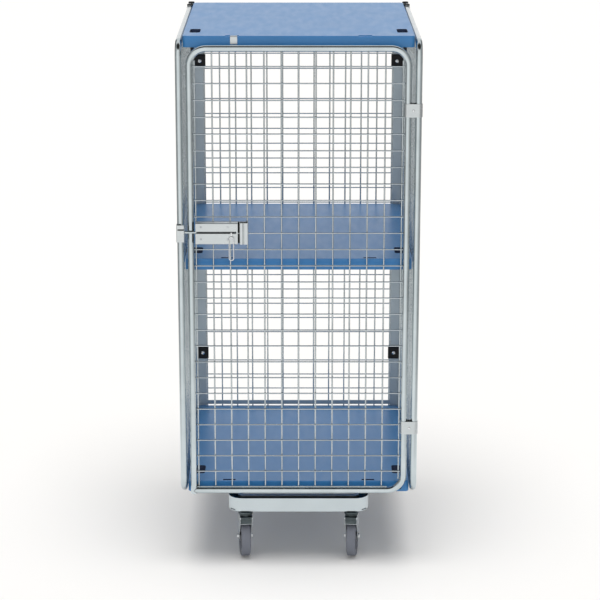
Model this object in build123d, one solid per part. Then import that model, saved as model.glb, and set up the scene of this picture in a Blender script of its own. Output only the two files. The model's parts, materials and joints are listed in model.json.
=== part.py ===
from build123d import *
import os
from math import cos, radians, sin, sqrt

# Security roll container, in millimetres. +Z is up and the door faces -Y. The origin is on the
# floor under the middle of the whole container.

# Stock
tube_diameter = 20.0
tube_sides = 12
upright_wire = 4.8
cross_wire = 4.0
wire_sides = 6
sheet = 1.5

# Clearances
weld_gap = 0.02
running_gap = 0.06
guide_gap = 0.1
sleeve_gap = 0.3
bolt_clearance = 0.5

# Cage
post_spacing = 704.0
side_depth = 770.0
side_height = 1382.0
frame_bend = 40.0
side_bays = 15
cross_pitch = 50.0
first_cross_rise = 32.5
top_cross_margin = 20.0
rear_upright_inset = 3.0
rear_columns = 11
rear_column_pitch = 51.8
rear_wire_overhang = 12.0
strip_width = 30.0
strip_thickness = 3.0
bottom_bar_rise = 38.0
bottom_bar_height = 14.0
cap_height = 4.0

# Rear clips
clip_width = 37.0
clip_height = 42.0
clip_depth = 12.0
clip_chamfer = 2.0
clip_gap = 0.5
lower_clip_rise = 190.0
upper_clip_drop = 156.0

# Base
caster_height = 160.0
ring_width = 436.0
ring_length = 700.0
ring_setback = 47.0
ring_corner = 45.0
ring_height = 46.0
channel_width = 31.0
channel_wall = 2.5
channel_lip = 12.0
lip_corner = 8.0
notch_width = 18.0
notch_height = 7.0
notch_overcut = 1.5
rail_width = 40.0
rail_height = 34.0
rail_wall = 2.0
rail_inset = 150.0
end_cap = 4.0
end_plug = 12.0

# Plates
plate_thickness = 34.0
plate_side_gap = 2.0
plate_rear_gap = 0.5
door_gap = 8.0
plate_corner = 12.0
plate_skin = 4.0
plate_skirt = 4.0
plate_rib = 3.5
pocket_columns = 3
pocket_rows = 3
lower_room = 672.0
roof_proud = 8.0
slot_width = 30.0
slot_length = 74.0
slot_corner = 8.0
slot_edge = 33.0
slot_setback = 107.0
slit_width = 38.0
slit_gap = 10.0
slit_depth = 12.0
slit_setback = 12.0
slit_x = 214.0
recess_x = 195.0
recess_width = 40.0
recess_length = 14.0
recess_depth = 2.5

# Hooks, buffers and roof stop
hook_width = 28.0
hook_reach = 28.0
hook_ledge = 5.0
hook_thickness = 4.0
hook_lip = 3.0
hook_foot = 6.0
hook_tab = 21.0
hook_bays = 3
hook_edge_gap = 0.5
hook_mesh_gap = 0.2
buffer_width = 9.5
buffer_height = 15.0
buffer_edge = 24.0
buffer_hold = 14.0
stop_width = 21.0
stop_offset = 5.0
stop_thickness = 2.0
stop_length = 12.0
stop_drop = 24.0

# Door
door_inset = 30.7
door_bottom_rise = 1.0
door_top_drop = 16.0
door_corner = 50.0
door_columns = 11
door_column_pitch = 50.94
door_edge_wire = 15.3
first_door_cross = 12.0
strap_height = 40.0
lower_strap_rise = 204.0
upper_strap_drop = 182.0

# Latch
latch_row = 16
latch_above_row = 2.0
bolt_rise = 3.5
bolt_diameter = 7.0
bolt_travel = 12.0
bolt_standoff = 1.0
bolt_tail = 8.0
bolt_sides = 12
housing_gap = 4.3
housing_length = 126.0
housing_height = 65.0
housing_bend = 3.0
latch_slot = 6.0
slot_end_gap = 0.5
guide_length = 10.0
guide_height = 20.0
guide_back_gap = 1.0
guide_left_inset = 4.0
guide_right_inset = 46.0
pull_gap = 5.0
pull_width = 26.0
pull_groove = 5.0
pull_groove_depth = 3.5
pull_groove_inset = 9.0
keeper_height = 52.0
keeper_overhang = 11.0
keeper_slit = 4.0
keeper_slit_rise = 12.0
keeper_slit_edge = 2.0
eye_inset = 19.0
eye_gap = 0.4
eye_radius = 4.5
eye_hole = 6.4
eye_drop = 12.5
lug_thickness = 4.0
lug_height = 4.8
loop_bar = 3.6
loop_width = 17.0
loop_length = 74.0

# Casters
wheel_diameter = 125.0
tyre_width = 30.0
tyre_thickness = 14.0
tyre_sides = 36
wheel_dish = 5.0
dish_sides = 20
axle_diameter = 10.0
axle_sides = 16
axle_head = 15.0
axle_head_height = 4.5
fork_gap = 2.0
fork_sheet = 2.5
fork_eye = 28.0
fork_depth = 54.0
fork_apron = 24.0
crown_thickness = 4.0
race_gap = 0.4
head_diameter = 48.0
head_height = 13.0
head_sides = 24
king_nut = 19.0
king_nut_height = 6.0
swivel_spacing = 330.0
trail = 35.0
front_yaw = 6.5
caster_plate_length = 105.0
caster_plate_depth = 88.0
caster_plate_thickness = 3.0
top_plate_length = 100.0
top_plate_depth = 80.0

# Places worked out from the sizes above
tube_r = tube_diameter / 2
upright_r = upright_wire / 2
cross_r = cross_wire / 2
bolt_r = bolt_diameter / 2
post_x = post_spacing / 2
bolt_ahead = tube_r + bolt_clearance + bolt_r
latch_inside = bolt_ahead + bolt_r + bolt_clearance
latch_front = latch_inside + sheet
eye_ahead = latch_front + eye_gap + eye_radius
front_reach = eye_ahead + eye_radius
rear_layers = upright_wire + weld_gap + cross_wire
rear_reach = side_depth + tube_r + rear_layers + tube_diameter
door_y = (front_reach - rear_reach) / 2
rear_post_y = door_y + side_depth
rear_plane_y = rear_post_y + tube_r
rear_upright_y = rear_plane_y + rear_layers + tube_r
rear_upright_x = post_x - rear_upright_inset
strip_outer = post_x - tube_r
strip_inner = strip_outer - strip_width
strip_y = rear_plane_y - strip_thickness

ring_z = caster_height
ring_y = door_y + ring_setback + ring_length / 2
rail_z = ring_z + ring_height
deck_z = rail_z + rail_height
shelf_z = deck_z + plate_thickness + lower_room
bottom_rail_z = deck_z + tube_r
top_rail_z = bottom_rail_z + side_height
roof_top = top_rail_z + tube_r + roof_proud
roof_z = roof_top - plate_thickness
rail_front_y = door_y + ring_setback + rail_inset
rail_rear_y = door_y + ring_setback + ring_length - rail_inset

plate_width = post_spacing - tube_diameter - 2 * plate_side_gap
plate_edge = plate_width / 2
plate_front = door_y + tube_r + door_gap
plate_back = strip_y - plate_rear_gap
plate_depth = plate_back - plate_front
plate_y = (plate_front + plate_back) / 2
first_cross_z = bottom_rail_z + first_cross_rise
side_cross_count = int((top_rail_z - tube_r - top_cross_margin - first_cross_z) / cross_pitch) + 1
rear_cross_count = int((roof_top - cap_height - rear_wire_overhang - first_cross_z) / cross_pitch) + 1
mesh_upright_x = post_x - cross_r - weld_gap - upright_r

door_x = post_x - door_inset
door_bottom_z = bottom_rail_z + door_bottom_rise
door_top_z = top_rail_z - door_top_drop
door_cross_z = door_bottom_z + first_door_cross
door_cross_count = int((door_top_z - tube_r - top_cross_margin - door_cross_z) / cross_pitch) + 1
strap_heights = (door_bottom_z + lower_strap_rise, door_top_z - upper_strap_drop)
strap_reach = tube_r + sleeve_gap + sheet
latch_z = door_cross_z + latch_row * cross_pitch + latch_above_row
bolt_z = latch_z + bolt_rise
latch_back = upright_wire + 2 * weld_gap
housing_left = -(door_x - tube_r - housing_gap)
housing_right = housing_left + housing_length
pull_left = housing_right + pull_gap
pull_right = pull_left + pull_width
eye_x = housing_right - eye_inset
eye_z = bolt_z - eye_drop
keeper_right = -(post_x - keeper_overhang)

wheel_r = wheel_diameter / 2
swivel_x = swivel_spacing / 2
swivel_y = door_y + ring_setback + channel_width / 2
fork_inner = tyre_width / 2 + fork_gap
fork_outer = fork_inner + fork_sheet
head_z = ring_z - head_height
crown_top = head_z - race_gap
crown_bottom = crown_top - crown_thickness
ring_back = door_y + ring_setback + ring_length
fixed_x = ring_width / 2 - caster_plate_length / 2
fixed_y = ring_back - caster_plate_depth / 2
fixed_top = ring_z - caster_plate_thickness


def prism(start, end, diameter, sides, towards):
    """A many-sided bar between two points, with one of its edges towards a direction."""
    axis = Vector(*end) - Vector(*start)
    outline = RegularPolygon(diameter / 2, sides)
    return extrude(Plane(origin=start, x_dir=towards, z_dir=axis) * outline, axis.length)


def upright_tube(x, y, low, high):
    """A straight upright tube, drawn solid."""
    return prism((x, y, low), (x, y, high), tube_diameter, tube_sides, (1, 0, 0))


def bent_tube(corners, bend):
    """A tube bent to one radius at each inner corner, drawn solid."""
    path = FilletPolyline(*corners, radius=bend)
    section = Plane(origin=path @ 0, z_dir=path % 0) * RegularPolygon(tube_diameter / 2, tube_sides)
    return sweep(section, path=path)


def hexagon_bar(start, end, flats):
    """A hexagonal prism between two points, such as a bolt head or a nut."""
    axis = Vector(*end) - Vector(*start)
    outline = RegularPolygon(flats / 2, 6, major_radius=False)
    return extrude(Plane(origin=start, z_dir=axis) * outline, axis.length)


def block(x_range, y_range, z_range):
    """A box between the lowest and highest values on each axis."""
    low = Vector(x_range[0], y_range[0], z_range[0])
    high = Vector(x_range[1], y_range[1], z_range[1])
    size = high - low
    return Location((low + high) * 0.5) * Box(size.X, size.Y, size.Z)


def span(middle, width):
    """The lowest and highest values of a width about its middle."""
    return (middle - width / 2, middle + width / 2)


def both_sides(shape):
    """A piece and its mirror image on the other side of the container."""
    return [shape, mirror(shape, about=Plane.YZ)]


def bend_reach(bend, beyond):
    """How far a tube's inner face stands off its axis, this far past the start of a bend."""
    if beyond <= 0:
        return tube_r
    return bend - sqrt((bend - tube_r) ** 2 - beyond**2)


def save(node, *shapes):
    """Write one named piece, or one group of like pieces."""
    solids = [solid for shape in shapes for solid in shape.solids()]
    export_step(solids[0] if len(solids) == 1 else Compound(solids), f"parts/{node}.step")


# Base

def ring_outline(inset):
    """The chassis ring's outline, drawn in from its outer face."""
    outline = RectangleRounded(ring_width - 2 * inset, ring_length - 2 * inset, ring_corner - inset)
    return Pos(0, ring_y) * outline


def chassis_ring():
    """An open-top channel bent into a ring, with a lip turned in and notches where its corners bend."""
    ring = extrude(Pos(0, 0, ring_z) * (ring_outline(0) - ring_outline(channel_width)), ring_height)
    inside = ring_outline(channel_wall) - ring_outline(channel_width - channel_wall)
    ring -= extrude(Pos(0, 0, ring_z + channel_wall) * inside, ring_height)
    reach = channel_width + channel_lip
    middle = Pos(0, ring_y) * RectangleRounded(ring_width - 2 * reach, ring_length - 2 * reach, lip_corner)
    lip = ring_outline(channel_width - channel_wall) - middle
    ring += extrude(Pos(0, 0, ring_z + ring_height - channel_wall) * lip, channel_wall)
    corner_x = ring_width / 2 - ring_corner
    corner_y = ring_length / 2 - ring_corner
    notch_out = ring_corner * cos(radians(45))
    for x_side in (-1, 1):
        for y_side in (-1, 1):
            place = Pos(x_side * (corner_x + notch_out), ring_y + y_side * (corner_y + notch_out), ring_z)
            turn = Rot(0, 0, 45 * x_side * y_side)
            cut = 2 * (channel_wall + notch_overcut)
            ring -= place * turn * Box(cut, notch_width, 2 * notch_height)
    return ring


def rail_profile(inset):
    """The cross rail's section, drawn in from its outer faces."""
    return Plane.YZ * Rectangle(rail_width - 2 * inset, rail_height - 2 * inset)


def cross_rail(y):
    """A rectangular tube under the deck, reaching below both side frames."""
    half = post_x + tube_r - end_cap
    rail = extrude(rail_profile(0) - rail_profile(rail_wall), half, both=True)
    return Pos(0, y, rail_z + rail_height / 2) * rail


def cross_rail_caps():
    """Plastic plugs in the four ends of the cross rails."""
    start = post_x + tube_r - end_cap
    cap = extrude(Pos(start, 0, 0) * rail_profile(0), end_cap)
    cap += extrude(Pos(start, 0, 0) * rail_profile(rail_wall + guide_gap), -end_plug)
    caps = []
    for y in (rail_front_y, rail_rear_y):
        caps += both_sides(Pos(0, y, rail_z + rail_height / 2) * cap)
    return caps


def caster_plates():
    """Plates under the ring's rear corners, cut to the ring's outline."""
    outline = Pos(fixed_x, fixed_y) * Rectangle(caster_plate_length, caster_plate_depth)
    plate = extrude(Pos(0, 0, fixed_top) * (outline & ring_outline(0)), caster_plate_thickness)
    return both_sides(plate)


# Casters

def wheel():
    """A wheel with its tyre moulded on, dished on both sides, with the axle along X."""
    half = tyre_width / 2
    tyre = RegularPolygon(wheel_r, tyre_sides)
    dish = RegularPolygon(wheel_r - tyre_thickness, dish_sides)
    body = extrude(Plane.YZ * tyre, half, both=True)
    for side in (-half, half - wheel_dish):
        body -= extrude(Pos(side, 0, 0) * (Plane.YZ * dish), wheel_dish)
    bore = (axle_diameter + 2 * running_gap) / cos(radians(180 / axle_sides))
    return body - prism((-half, 0, 0), (half, 0, 0), bore, axle_sides, (0, 0, 1))


def fork_legs(trail_y, top_z):
    """Two side plates that taper to the axle, joined by the axle bolt with its head and nut."""
    top = Pos(0, top_z - fork_sheet) * Rectangle(fork_depth, 2 * fork_sheet)
    eye = Pos(trail_y, wheel_r) * Circle(fork_eye / 2)
    side = make_hull(top.edges() + eye.edges())
    leg = extrude(Pos(fork_inner, 0, 0) * (Plane.YZ * side), fork_sheet)
    head_start = (fork_outer, trail_y, wheel_r)
    leg += hexagon_bar(head_start, (fork_outer + axle_head_height, trail_y, wheel_r), axle_head)
    axle_ends = (-fork_inner, trail_y, wheel_r), (fork_inner, trail_y, wheel_r)
    axle = prism(*axle_ends, axle_diameter, axle_sides, (0, 0, 1))
    return axle + leg + mirror(leg, about=Plane.YZ)


def swivel_fork():
    """A pressed fork with a closed front, its king nut below; the wheel trails towards +Y."""
    across = span(0, 2 * fork_outer)
    fork = fork_legs(trail, crown_top)
    fork += block(across, span(0, fork_depth), (crown_bottom, crown_top))
    front = (-fork_depth / 2, -fork_depth / 2 + fork_sheet)
    fork += block(across, front, (crown_bottom - fork_apron, crown_bottom))
    return fork + hexagon_bar((0, 0, crown_bottom - king_nut_height), (0, 0, crown_bottom), king_nut)


def fixed_fork():
    """A fixed caster's bracket: a top plate with two legs straight down."""
    top_plate = span(0, top_plate_length), span(0, top_plate_depth)
    return fork_legs(0, fixed_top) + block(*top_plate, (fixed_top - caster_plate_thickness, fixed_top))


def swivel_head(x):
    """The fixed ball race, flat against the ring's channel."""
    low, high = (x, swivel_y, head_z), (x, swivel_y, ring_z)
    return prism(low, high, head_diameter, head_sides, (1, 0, 0))


def make_casters():
    """All four casters: the front pair swivels, the rear pair is fixed."""
    save("swivel_heads", swivel_head(-swivel_x), swivel_head(swivel_x))
    rear_forks = []
    for name, side in (("left", -1), ("right", 1)):
        front = Pos(side * swivel_x, swivel_y, 0) * Rot(0, 0, -side * front_yaw)
        save(f"front_fork_{name}", front * swivel_fork())
        save(f"front_wheel_{name}", front * Pos(0, trail, wheel_r) * wheel())
        rear = Pos(side * fixed_x, fixed_y, 0)
        rear_forks.append(rear * fixed_fork())
        save(f"rear_wheel_{name}", rear * Pos(0, 0, wheel_r) * wheel())
    save("rear_forks", *rear_forks)


# Cage

def side_frame(side):
    """Front post, top rail and bottom rail bent from one tube, coped onto the rear post."""
    x = side * post_x
    corners = [
        (x, rear_post_y, top_rail_z), (x, door_y, top_rail_z),
        (x, door_y, bottom_rail_z), (x, rear_post_y, bottom_rail_z),
    ]
    return bent_tube(corners, frame_bend) - upright_tube(x, rear_post_y, deck_z - tube_r, roof_top)


def rear_post(side):
    """The straight tube at the back of a side frame."""
    return upright_tube(side * post_x, rear_post_y, deck_z, top_rail_z + tube_r)


def rear_upright(side):
    """A side tube of the rear panel."""
    return upright_tube(side * rear_upright_x, rear_upright_y, deck_z, roof_top - cap_height)


def tube_caps():
    """Plastic caps on the rear posts and on the rear panel's uprights."""
    post_top = top_rail_z + tube_r
    caps = both_sides(upright_tube(post_x, rear_post_y, post_top, post_top + cap_height))
    return caps + both_sides(upright_tube(rear_upright_x, rear_upright_y, roof_top - cap_height, roof_top))


def banded(side, z):
    """Whether a cross wire at this height would meet a hinge strap or the latch keeper."""
    bands = [(latch_z, keeper_height)]
    if side > 0:
        bands = [(middle, strap_height) for middle in strap_heights]
    reach = cross_r + bolt_clearance
    return any(abs(z - middle) < height / 2 + reach for middle, height in bands)


def side_mesh(side):
    """Upright wires inside, cross wires in the plane of the side frame's tube."""
    wires = []
    end_reach = sqrt(tube_r**2 - (cross_r + weld_gap) ** 2)
    x = side * mesh_upright_x
    for bay in range(1, side_bays):
        y = door_y + bay * side_depth / side_bays
        low = (x, y, bottom_rail_z + end_reach)
        high = (x, y, top_rail_z - end_reach)
        wires.append(prism(low, high, upright_wire, wire_sides, (1, 0, 0)))
    x = side * post_x
    for row in range(side_cross_count):
        z = first_cross_z + row * cross_pitch
        front = bend_reach(frame_bend, bottom_rail_z + frame_bend - z + cross_r)
        if banded(side, z):
            front = strap_reach + bolt_clearance
        start = (x, door_y + front, z)
        wires.append(prism(start, (x, rear_post_y - tube_r, z), cross_wire, wire_sides, (1, 0, 0)))
    return wires


def rear_mesh():
    """Upright wires in front, cross wires behind them on the uprights."""
    wires = []
    low = first_cross_z - rear_wire_overhang
    high = first_cross_z + (rear_cross_count - 1) * cross_pitch + rear_wire_overhang
    middle = (rear_columns - 1) / 2
    columns = [(column - middle) * rear_column_pitch for column in range(rear_columns)]
    edge = strip_inner - upright_r
    y = rear_plane_y + upright_r
    for x in [-edge] + columns + [edge]:
        wires.append(prism((x, y, low), (x, y, high), upright_wire, wire_sides, (0, 1, 0)))
    y = rear_plane_y + upright_wire + weld_gap + cross_r
    for row in range(rear_cross_count):
        z = first_cross_z + row * cross_pitch
        end = (rear_upright_x, y, z)
        wires.append(prism((-rear_upright_x, y, z), end, cross_wire, wire_sides, (0, 1, 0)))
    return wires


def rear_strip():
    """A flat strip down one edge of the rear panel."""
    return block((strip_inner, strip_outer), (strip_y, rear_plane_y), (deck_z, roof_top - cap_height))


def rear_bottom_bar():
    """A flat bar across the bottom of the rear panel, between the strips."""
    low = deck_z + bottom_bar_rise
    return block((-strip_inner, strip_inner), (strip_y, rear_plane_y), (low, low + bottom_bar_height))


def rear_clips():
    """Plastic clips that hold the rear strips beside the side frames' rear posts."""
    clips = []
    outer = strip_outer - clip_gap
    for z in (deck_z + plate_thickness + lower_clip_rise, roof_z - upper_clip_drop):
        clip = block((outer - clip_width, outer), (strip_y - clip_depth, strip_y), span(z, clip_height))
        clips += both_sides(chamfer(clip.faces().sort_by(Axis.Y)[0].edges(), clip_chamfer))
    return clips


# Plates

def plate_slots():
    """The two oblong slots at a plate's front corners, as one flat shape."""
    spot = Pos(plate_edge - slot_edge, plate_front + slot_setback)
    slot = spot * RectangleRounded(slot_width, slot_length, slot_corner)
    return slot + mirror(slot, about=Plane.YZ)


def plate_slits():
    """The two narrow slits behind a plate's front edge, as one flat shape."""
    slit = Pos(slit_x, plate_front + slit_setback) * Rectangle(slit_width, slit_gap)
    return slit + mirror(slit, about=Plane.YZ)


def opening_walls():
    """The solid frames left round the slots and slits on a plate's underside."""
    wall = 2 * plate_rib
    frame = Pos(plate_edge - slot_edge, plate_front + slot_setback)
    frame *= Rectangle(slot_width + wall, slot_length + wall)
    frame += Pos(slit_x, plate_front + slit_setback) * Rectangle(slit_width + wall, slit_gap + wall)
    return frame + mirror(frame, about=Plane.YZ)


def plate(bottom_z):
    """A moulded plate: flat top, skirt all round, ribs below, slots with their own walls."""
    outline = Pos(0, plate_y, bottom_z) * RectangleRounded(plate_width, plate_depth, plate_corner)
    body = extrude(outline, plate_thickness)
    cell_x = (plate_width - 2 * plate_skirt - (pocket_columns - 1) * plate_rib) / pocket_columns
    cell_y = (plate_depth - 2 * plate_skirt - (pocket_rows - 1) * plate_rib) / pocket_rows
    grid = GridLocations(cell_x + plate_rib, cell_y + plate_rib, pocket_columns, pocket_rows)
    cells = Sketch() + [Pos(0, plate_y) * spot * Rectangle(cell_x, cell_y) for spot in grid]
    body -= extrude(Pos(0, 0, bottom_z) * (cells - opening_walls()), plate_thickness - plate_skin)
    return body - extrude(Pos(0, 0, bottom_z) * plate_slots(), plate_thickness)


def slit_plate(bottom_z):
    """A plate with the two slits along its front edge, as on the deck and the shelf."""
    top = bottom_z + plate_thickness
    return plate(bottom_z) - extrude(Pos(0, 0, top - slit_depth) * plate_slits(), slit_depth)


def roof_plate():
    """A plate whose front edge has two shallow recesses instead of the slits."""
    roof = plate(roof_z)
    deep = (plate_front, plate_front + recess_length)
    for cut in both_sides(block(span(recess_x, recess_width), deep, (roof_top - recess_depth, roof_top))):
        roof -= cut
    return roof


def roof_stop():
    """A folded metal stop over the roof's front edge, in the left recess and off its middle."""
    across = span(stop_offset - recess_x, stop_width)
    top_z = roof_top - recess_depth
    front = plate_front - stop_thickness
    stop = block(across, (front, plate_front + stop_length), (top_z, top_z + stop_thickness))
    return stop + block(across, (front, plate_front), (roof_top - stop_drop, top_z))


def plate_hook(y, underside, wire_z, tab):
    """A plastic hook over one cross wire, with a ledge that carries a plate's edge."""
    inner = plate_edge + hook_edge_gap
    outer = mesh_upright_x - upright_r - hook_mesh_gap
    tip = plate_edge - hook_reach
    wire_top = wire_z + cross_r + weld_gap
    hook_top = wire_top + hook_thickness
    lip_in = post_x + cross_r + hook_mesh_gap
    lip_out = lip_in + hook_lip
    rest = [(tip, underside), (outer, underside)]
    if tab > 0:
        rest = [(tip, underside), (inner, underside), (inner, underside + tab), (outer, underside + tab)]
    outline = rest + [
        (outer, hook_top), (lip_out, hook_top), (lip_out, wire_z - cross_r), (lip_in, wire_z - cross_r),
        (lip_in, wire_top), (outer, wire_top), (outer, wire_z - hook_foot),
        (inner, wire_z - hook_foot), (tip, underside - hook_ledge),
    ]
    profile = make_face(Polyline(*outline, close=True))
    return Pos(0, y, 0) * extrude(Plane.XZ * profile, hook_width / 2, both=True)


def plate_hooks(underside, tab):
    """The four hooks under one plate, each in the middle of a bay of the side mesh."""
    room = underside - first_cross_z - cross_r - hook_thickness - weld_gap
    wire_z = first_cross_z + int(room / cross_pitch) * cross_pitch
    bay = side_depth / side_bays
    hooks = []
    inward = (hook_bays + 0.5) * bay
    for y in (door_y + inward, rear_post_y - inward):
        hooks += both_sides(plate_hook(y, underside, wire_z, tab))
    return hooks


def door_buffers():
    """Rubber buffers behind the door's corners, under the roof and on the deck's front."""
    across = (plate_edge - buffer_edge - buffer_width, plate_edge - buffer_edge)
    front = door_y + tube_r + sleeve_gap
    upper = block(across, (front, plate_front + buffer_hold), (roof_z - buffer_height, roof_z))
    lower = block(across, (front, plate_front), span(deck_z + plate_thickness / 2, buffer_height))
    return both_sides(upper) + both_sides(lower)


# Door

def door_frame():
    """One bent tube with three round corners; its bottom run is coped onto the left upright."""
    foot_z = door_bottom_z - tube_r
    middle = (0, door_y, door_bottom_z)
    corners = [
        (-door_x, door_y, foot_z), (-door_x, door_y, door_top_z), (door_x, door_y, door_top_z),
        (door_x, door_y, door_bottom_z), middle,
    ]
    corner = (-door_x, door_y, door_bottom_z)
    last_run = prism(corner, middle, tube_diameter, tube_sides, (0, 0, 1))
    last_run -= upright_tube(-door_x, door_y, foot_z - tube_r, door_top_z)
    return bent_tube(corners, door_corner) + last_run


def door_upright(x):
    """An upright door wire, cut to where it meets the tube."""
    beyond = abs(x) + upright_r - door_x + door_corner
    high = door_top_z - bend_reach(door_corner, beyond)
    low = door_bottom_z + bend_reach(door_corner, beyond if x > 0 else 0)
    y = door_y + weld_gap / 2 + upright_r
    return prism((x, y, low), (x, y, high), upright_wire, wire_sides, (0, 1, 0))


def door_cross(z):
    """A cross wire of the door, cut short at the hinge straps."""
    right = door_x - bend_reach(door_corner, door_bottom_z + door_corner - z + cross_r)
    if banded(1, z):
        right = door_x - strap_reach - bolt_clearance
    y = door_y - weld_gap / 2 - cross_r
    return prism((tube_r - door_x, y, z), (right, y, z), cross_wire, wire_sides, (0, 1, 0))


def door_mesh():
    """Cross wires in front, upright wires behind them, inside the door tube."""
    middle = (door_columns - 1) / 2
    columns = [(column - middle) * door_column_pitch for column in range(door_columns)]
    edge = door_x - door_edge_wire
    uprights = [door_upright(x) for x in [-edge] + columns + [edge]]
    return uprights + [door_cross(door_cross_z + row * cross_pitch) for row in range(door_cross_count)]


def hinge_strap(z):
    """A sheet band round the right post and the door's tube, free to turn on both."""
    inner = SlotCenterToCenter(door_inset, tube_diameter + 2 * sleeve_gap)
    outer = SlotCenterToCenter(door_inset, 2 * strap_reach)
    return extrude(Pos((post_x + door_x) / 2, door_y, z) * (outer - inner), strap_height / 2, both=True)


# Latch

def latch_housing():
    """A folded channel on the door's mesh, slotted along its front for the bolt's lug."""

    def fold(inset):
        low, high = span(latch_z, housing_height - 2 * inset)
        face = door_y - latch_front + inset
        back = door_y - weld_gap
        points = [(back, high), (face, high), (face, low), (back, low)]
        return FilletPolyline(*points, radius=housing_bend - inset)

    outer, inner = fold(0), fold(sheet)
    ends = [Line(outer @ 0, inner @ 0), Line(outer @ 1, inner @ 1)]
    profile = make_face(Curve() + [outer, inner] + ends)
    housing = extrude(Pos(housing_left, 0, 0) * (Plane.YZ * profile), housing_length)
    slot_end = eye_x + bolt_travel + lug_thickness / 2 + slot_end_gap
    front_wall = (door_y - latch_front, door_y - latch_inside)
    return housing - block((housing_left, slot_end), front_wall, span(bolt_z, latch_slot))


def latch_back_plate():
    """A flat plate behind the door's upright wires that clamps the latch to the mesh."""
    front = door_y + latch_back
    return block((housing_left, pull_right), (front, front + sheet), span(latch_z, housing_height))


def latch_pull():
    """A folded hand pull with a groove down its front."""
    groove_left = pull_left + pull_groove_inset
    groove_right = groove_left + pull_groove
    slope = pull_groove / 4
    back = door_y - cross_wire - 2 * weld_gap

    def front_line(inset):
        face = door_y - latch_front + inset
        floor = face + pull_groove_depth
        return [
            (pull_left + inset, back), (pull_left + inset, face), (groove_left - inset / 2, face),
            (groove_left + slope - inset / 2, floor), (groove_right - slope + inset / 2, floor),
            (groove_right + inset / 2, face), (pull_right - inset, face), (pull_right - inset, back),
        ]

    outline = front_line(0) + list(reversed(front_line(sheet)))
    profile = make_face(Polyline(*outline, close=True))
    return Pos(0, 0, latch_z) * extrude(profile, housing_height / 2, both=True)


def bolt_bar(left, right, gap):
    """The bolt's round bar between two places, larger by a gap."""
    y = door_y - bolt_ahead
    across = bolt_diameter + 2 * gap
    return prism((left, y, bolt_z), (right, y, bolt_z), across, bolt_sides, (0, 0, 1))


def bolt_guides():
    """Two blocks inside the housing that the bolt slides through."""
    guides = []
    deep = (door_y - latch_inside, door_y - cross_wire - guide_back_gap)
    for left in (housing_left + guide_left_inset, housing_right - guide_right_inset - guide_length):
        right = left + guide_length
        guide = block((left, right), deep, span(bolt_z, guide_height))
        guides.append(guide - bolt_bar(left, right, guide_gap))
    return guides


def slide_bolt():
    """A round bolt with a flat lug that comes out through the slot and ends in an eye."""
    bolt = bolt_bar(keeper_right + bolt_standoff, eye_x + bolt_tail, 0)
    reach = eye_ahead - bolt_ahead
    neck = Pos(-bolt_ahead - reach / 2, bolt_z) * Rectangle(reach + lug_height, lug_height)
    arm = Pos(-eye_ahead, (bolt_z + eye_z) / 2) * Rectangle(lug_height, eye_drop)
    eye = Pos(-eye_ahead, eye_z)
    side = neck + arm + eye * Circle(eye_radius) - eye * Circle(eye_hole / 2)
    lug = extrude(Plane.YZ * side, lug_thickness / 2, both=True)
    return bolt + Pos(eye_x, door_y, 0) * lug


def pull_loop():
    """A long loop that hangs in the bolt's eye."""
    middle = eye_z + loop_bar / 2 - loop_length / 2
    outer = SlotOverall(loop_length, loop_width)
    inner = SlotOverall(loop_length - 2 * loop_bar, loop_width - 2 * loop_bar)
    loop = extrude(Plane.XZ * (Rot(0, 0, 90) * (outer - inner)), loop_bar / 2, both=True)
    return Pos(eye_x, door_y - eye_ahead, middle) * loop


def latch_keeper():
    """A sheet band bent round the left post's side and folded across its front."""

    def band_line(out):
        wrap = tube_r + sleeve_gap + out
        face = door_y - latch_inside - out
        back = (-post_x, door_y + wrap)
        bend = (-post_x - wrap * cos(radians(45)), door_y + wrap * sin(radians(45)))
        side = (-post_x - wrap, door_y)
        corner = (-post_x - wrap, face)
        return [ThreePointArc(back, bend, side), Line(side, corner), Line(corner, (keeper_right, face))]

    inner, outer = band_line(0), band_line(sheet)
    ends = [Line(inner[0] @ 0, outer[0] @ 0), Line(inner[2] @ 1, outer[2] @ 1)]
    profile = make_face(Curve() + inner + outer + ends)
    keeper = Pos(0, 0, latch_z) * extrude(profile, keeper_height / 2, both=True)
    front_wall = (door_y - latch_front, door_y - latch_inside)
    across = (-post_x - tube_r + keeper_slit_edge, keeper_right)
    return keeper - block(across, front_wall, span(latch_z + keeper_slit_rise, keeper_slit))


def make_base_and_cage():
    """The base, the side frames, the rear panel and the plates."""
    save("chassis_ring", chassis_ring())
    save("front_cross_rail", cross_rail(rail_front_y))
    save("rear_cross_rail", cross_rail(rail_rear_y))
    save("cross_rail_caps", *cross_rail_caps())
    save("caster_plates", *caster_plates())
    for name, side in (("left", -1), ("right", 1)):
        save(f"{name}_side_frame", side_frame(side))
        save(f"{name}_rear_post", rear_post(side))
        save(f"{name}_side_mesh", *side_mesh(side))
        save(f"{name}_rear_upright", rear_upright(side))
    save("tube_caps", *tube_caps())
    save("rear_mesh", *rear_mesh())
    save("rear_edge_strips", *both_sides(rear_strip()))
    save("rear_bottom_bar", rear_bottom_bar())
    save("rear_clips", *rear_clips())
    save("deck", slit_plate(deck_z))
    save("mid_shelf", slit_plate(shelf_z))
    save("roof_plate", roof_plate())
    save("roof_stop", roof_stop())
    save("shelf_hooks", *plate_hooks(shelf_z, hook_tab))
    save("roof_hooks", *plate_hooks(roof_z, 0))
    save("door_buffers", *door_buffers())


def make_door_and_latch():
    """The door, its hinge straps and its latch."""
    save("door_frame", door_frame())
    save("door_mesh", *door_mesh())
    save("hinge_straps", *[hinge_strap(z) for z in strap_heights])
    save("latch_housing", latch_housing())
    save("latch_back_plate", latch_back_plate())
    save("latch_pull", latch_pull())
    save("bolt_guides", *bolt_guides())
    save("slide_bolt", slide_bolt())
    save("pull_loop", pull_loop())
    save("latch_keeper", latch_keeper())


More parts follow.
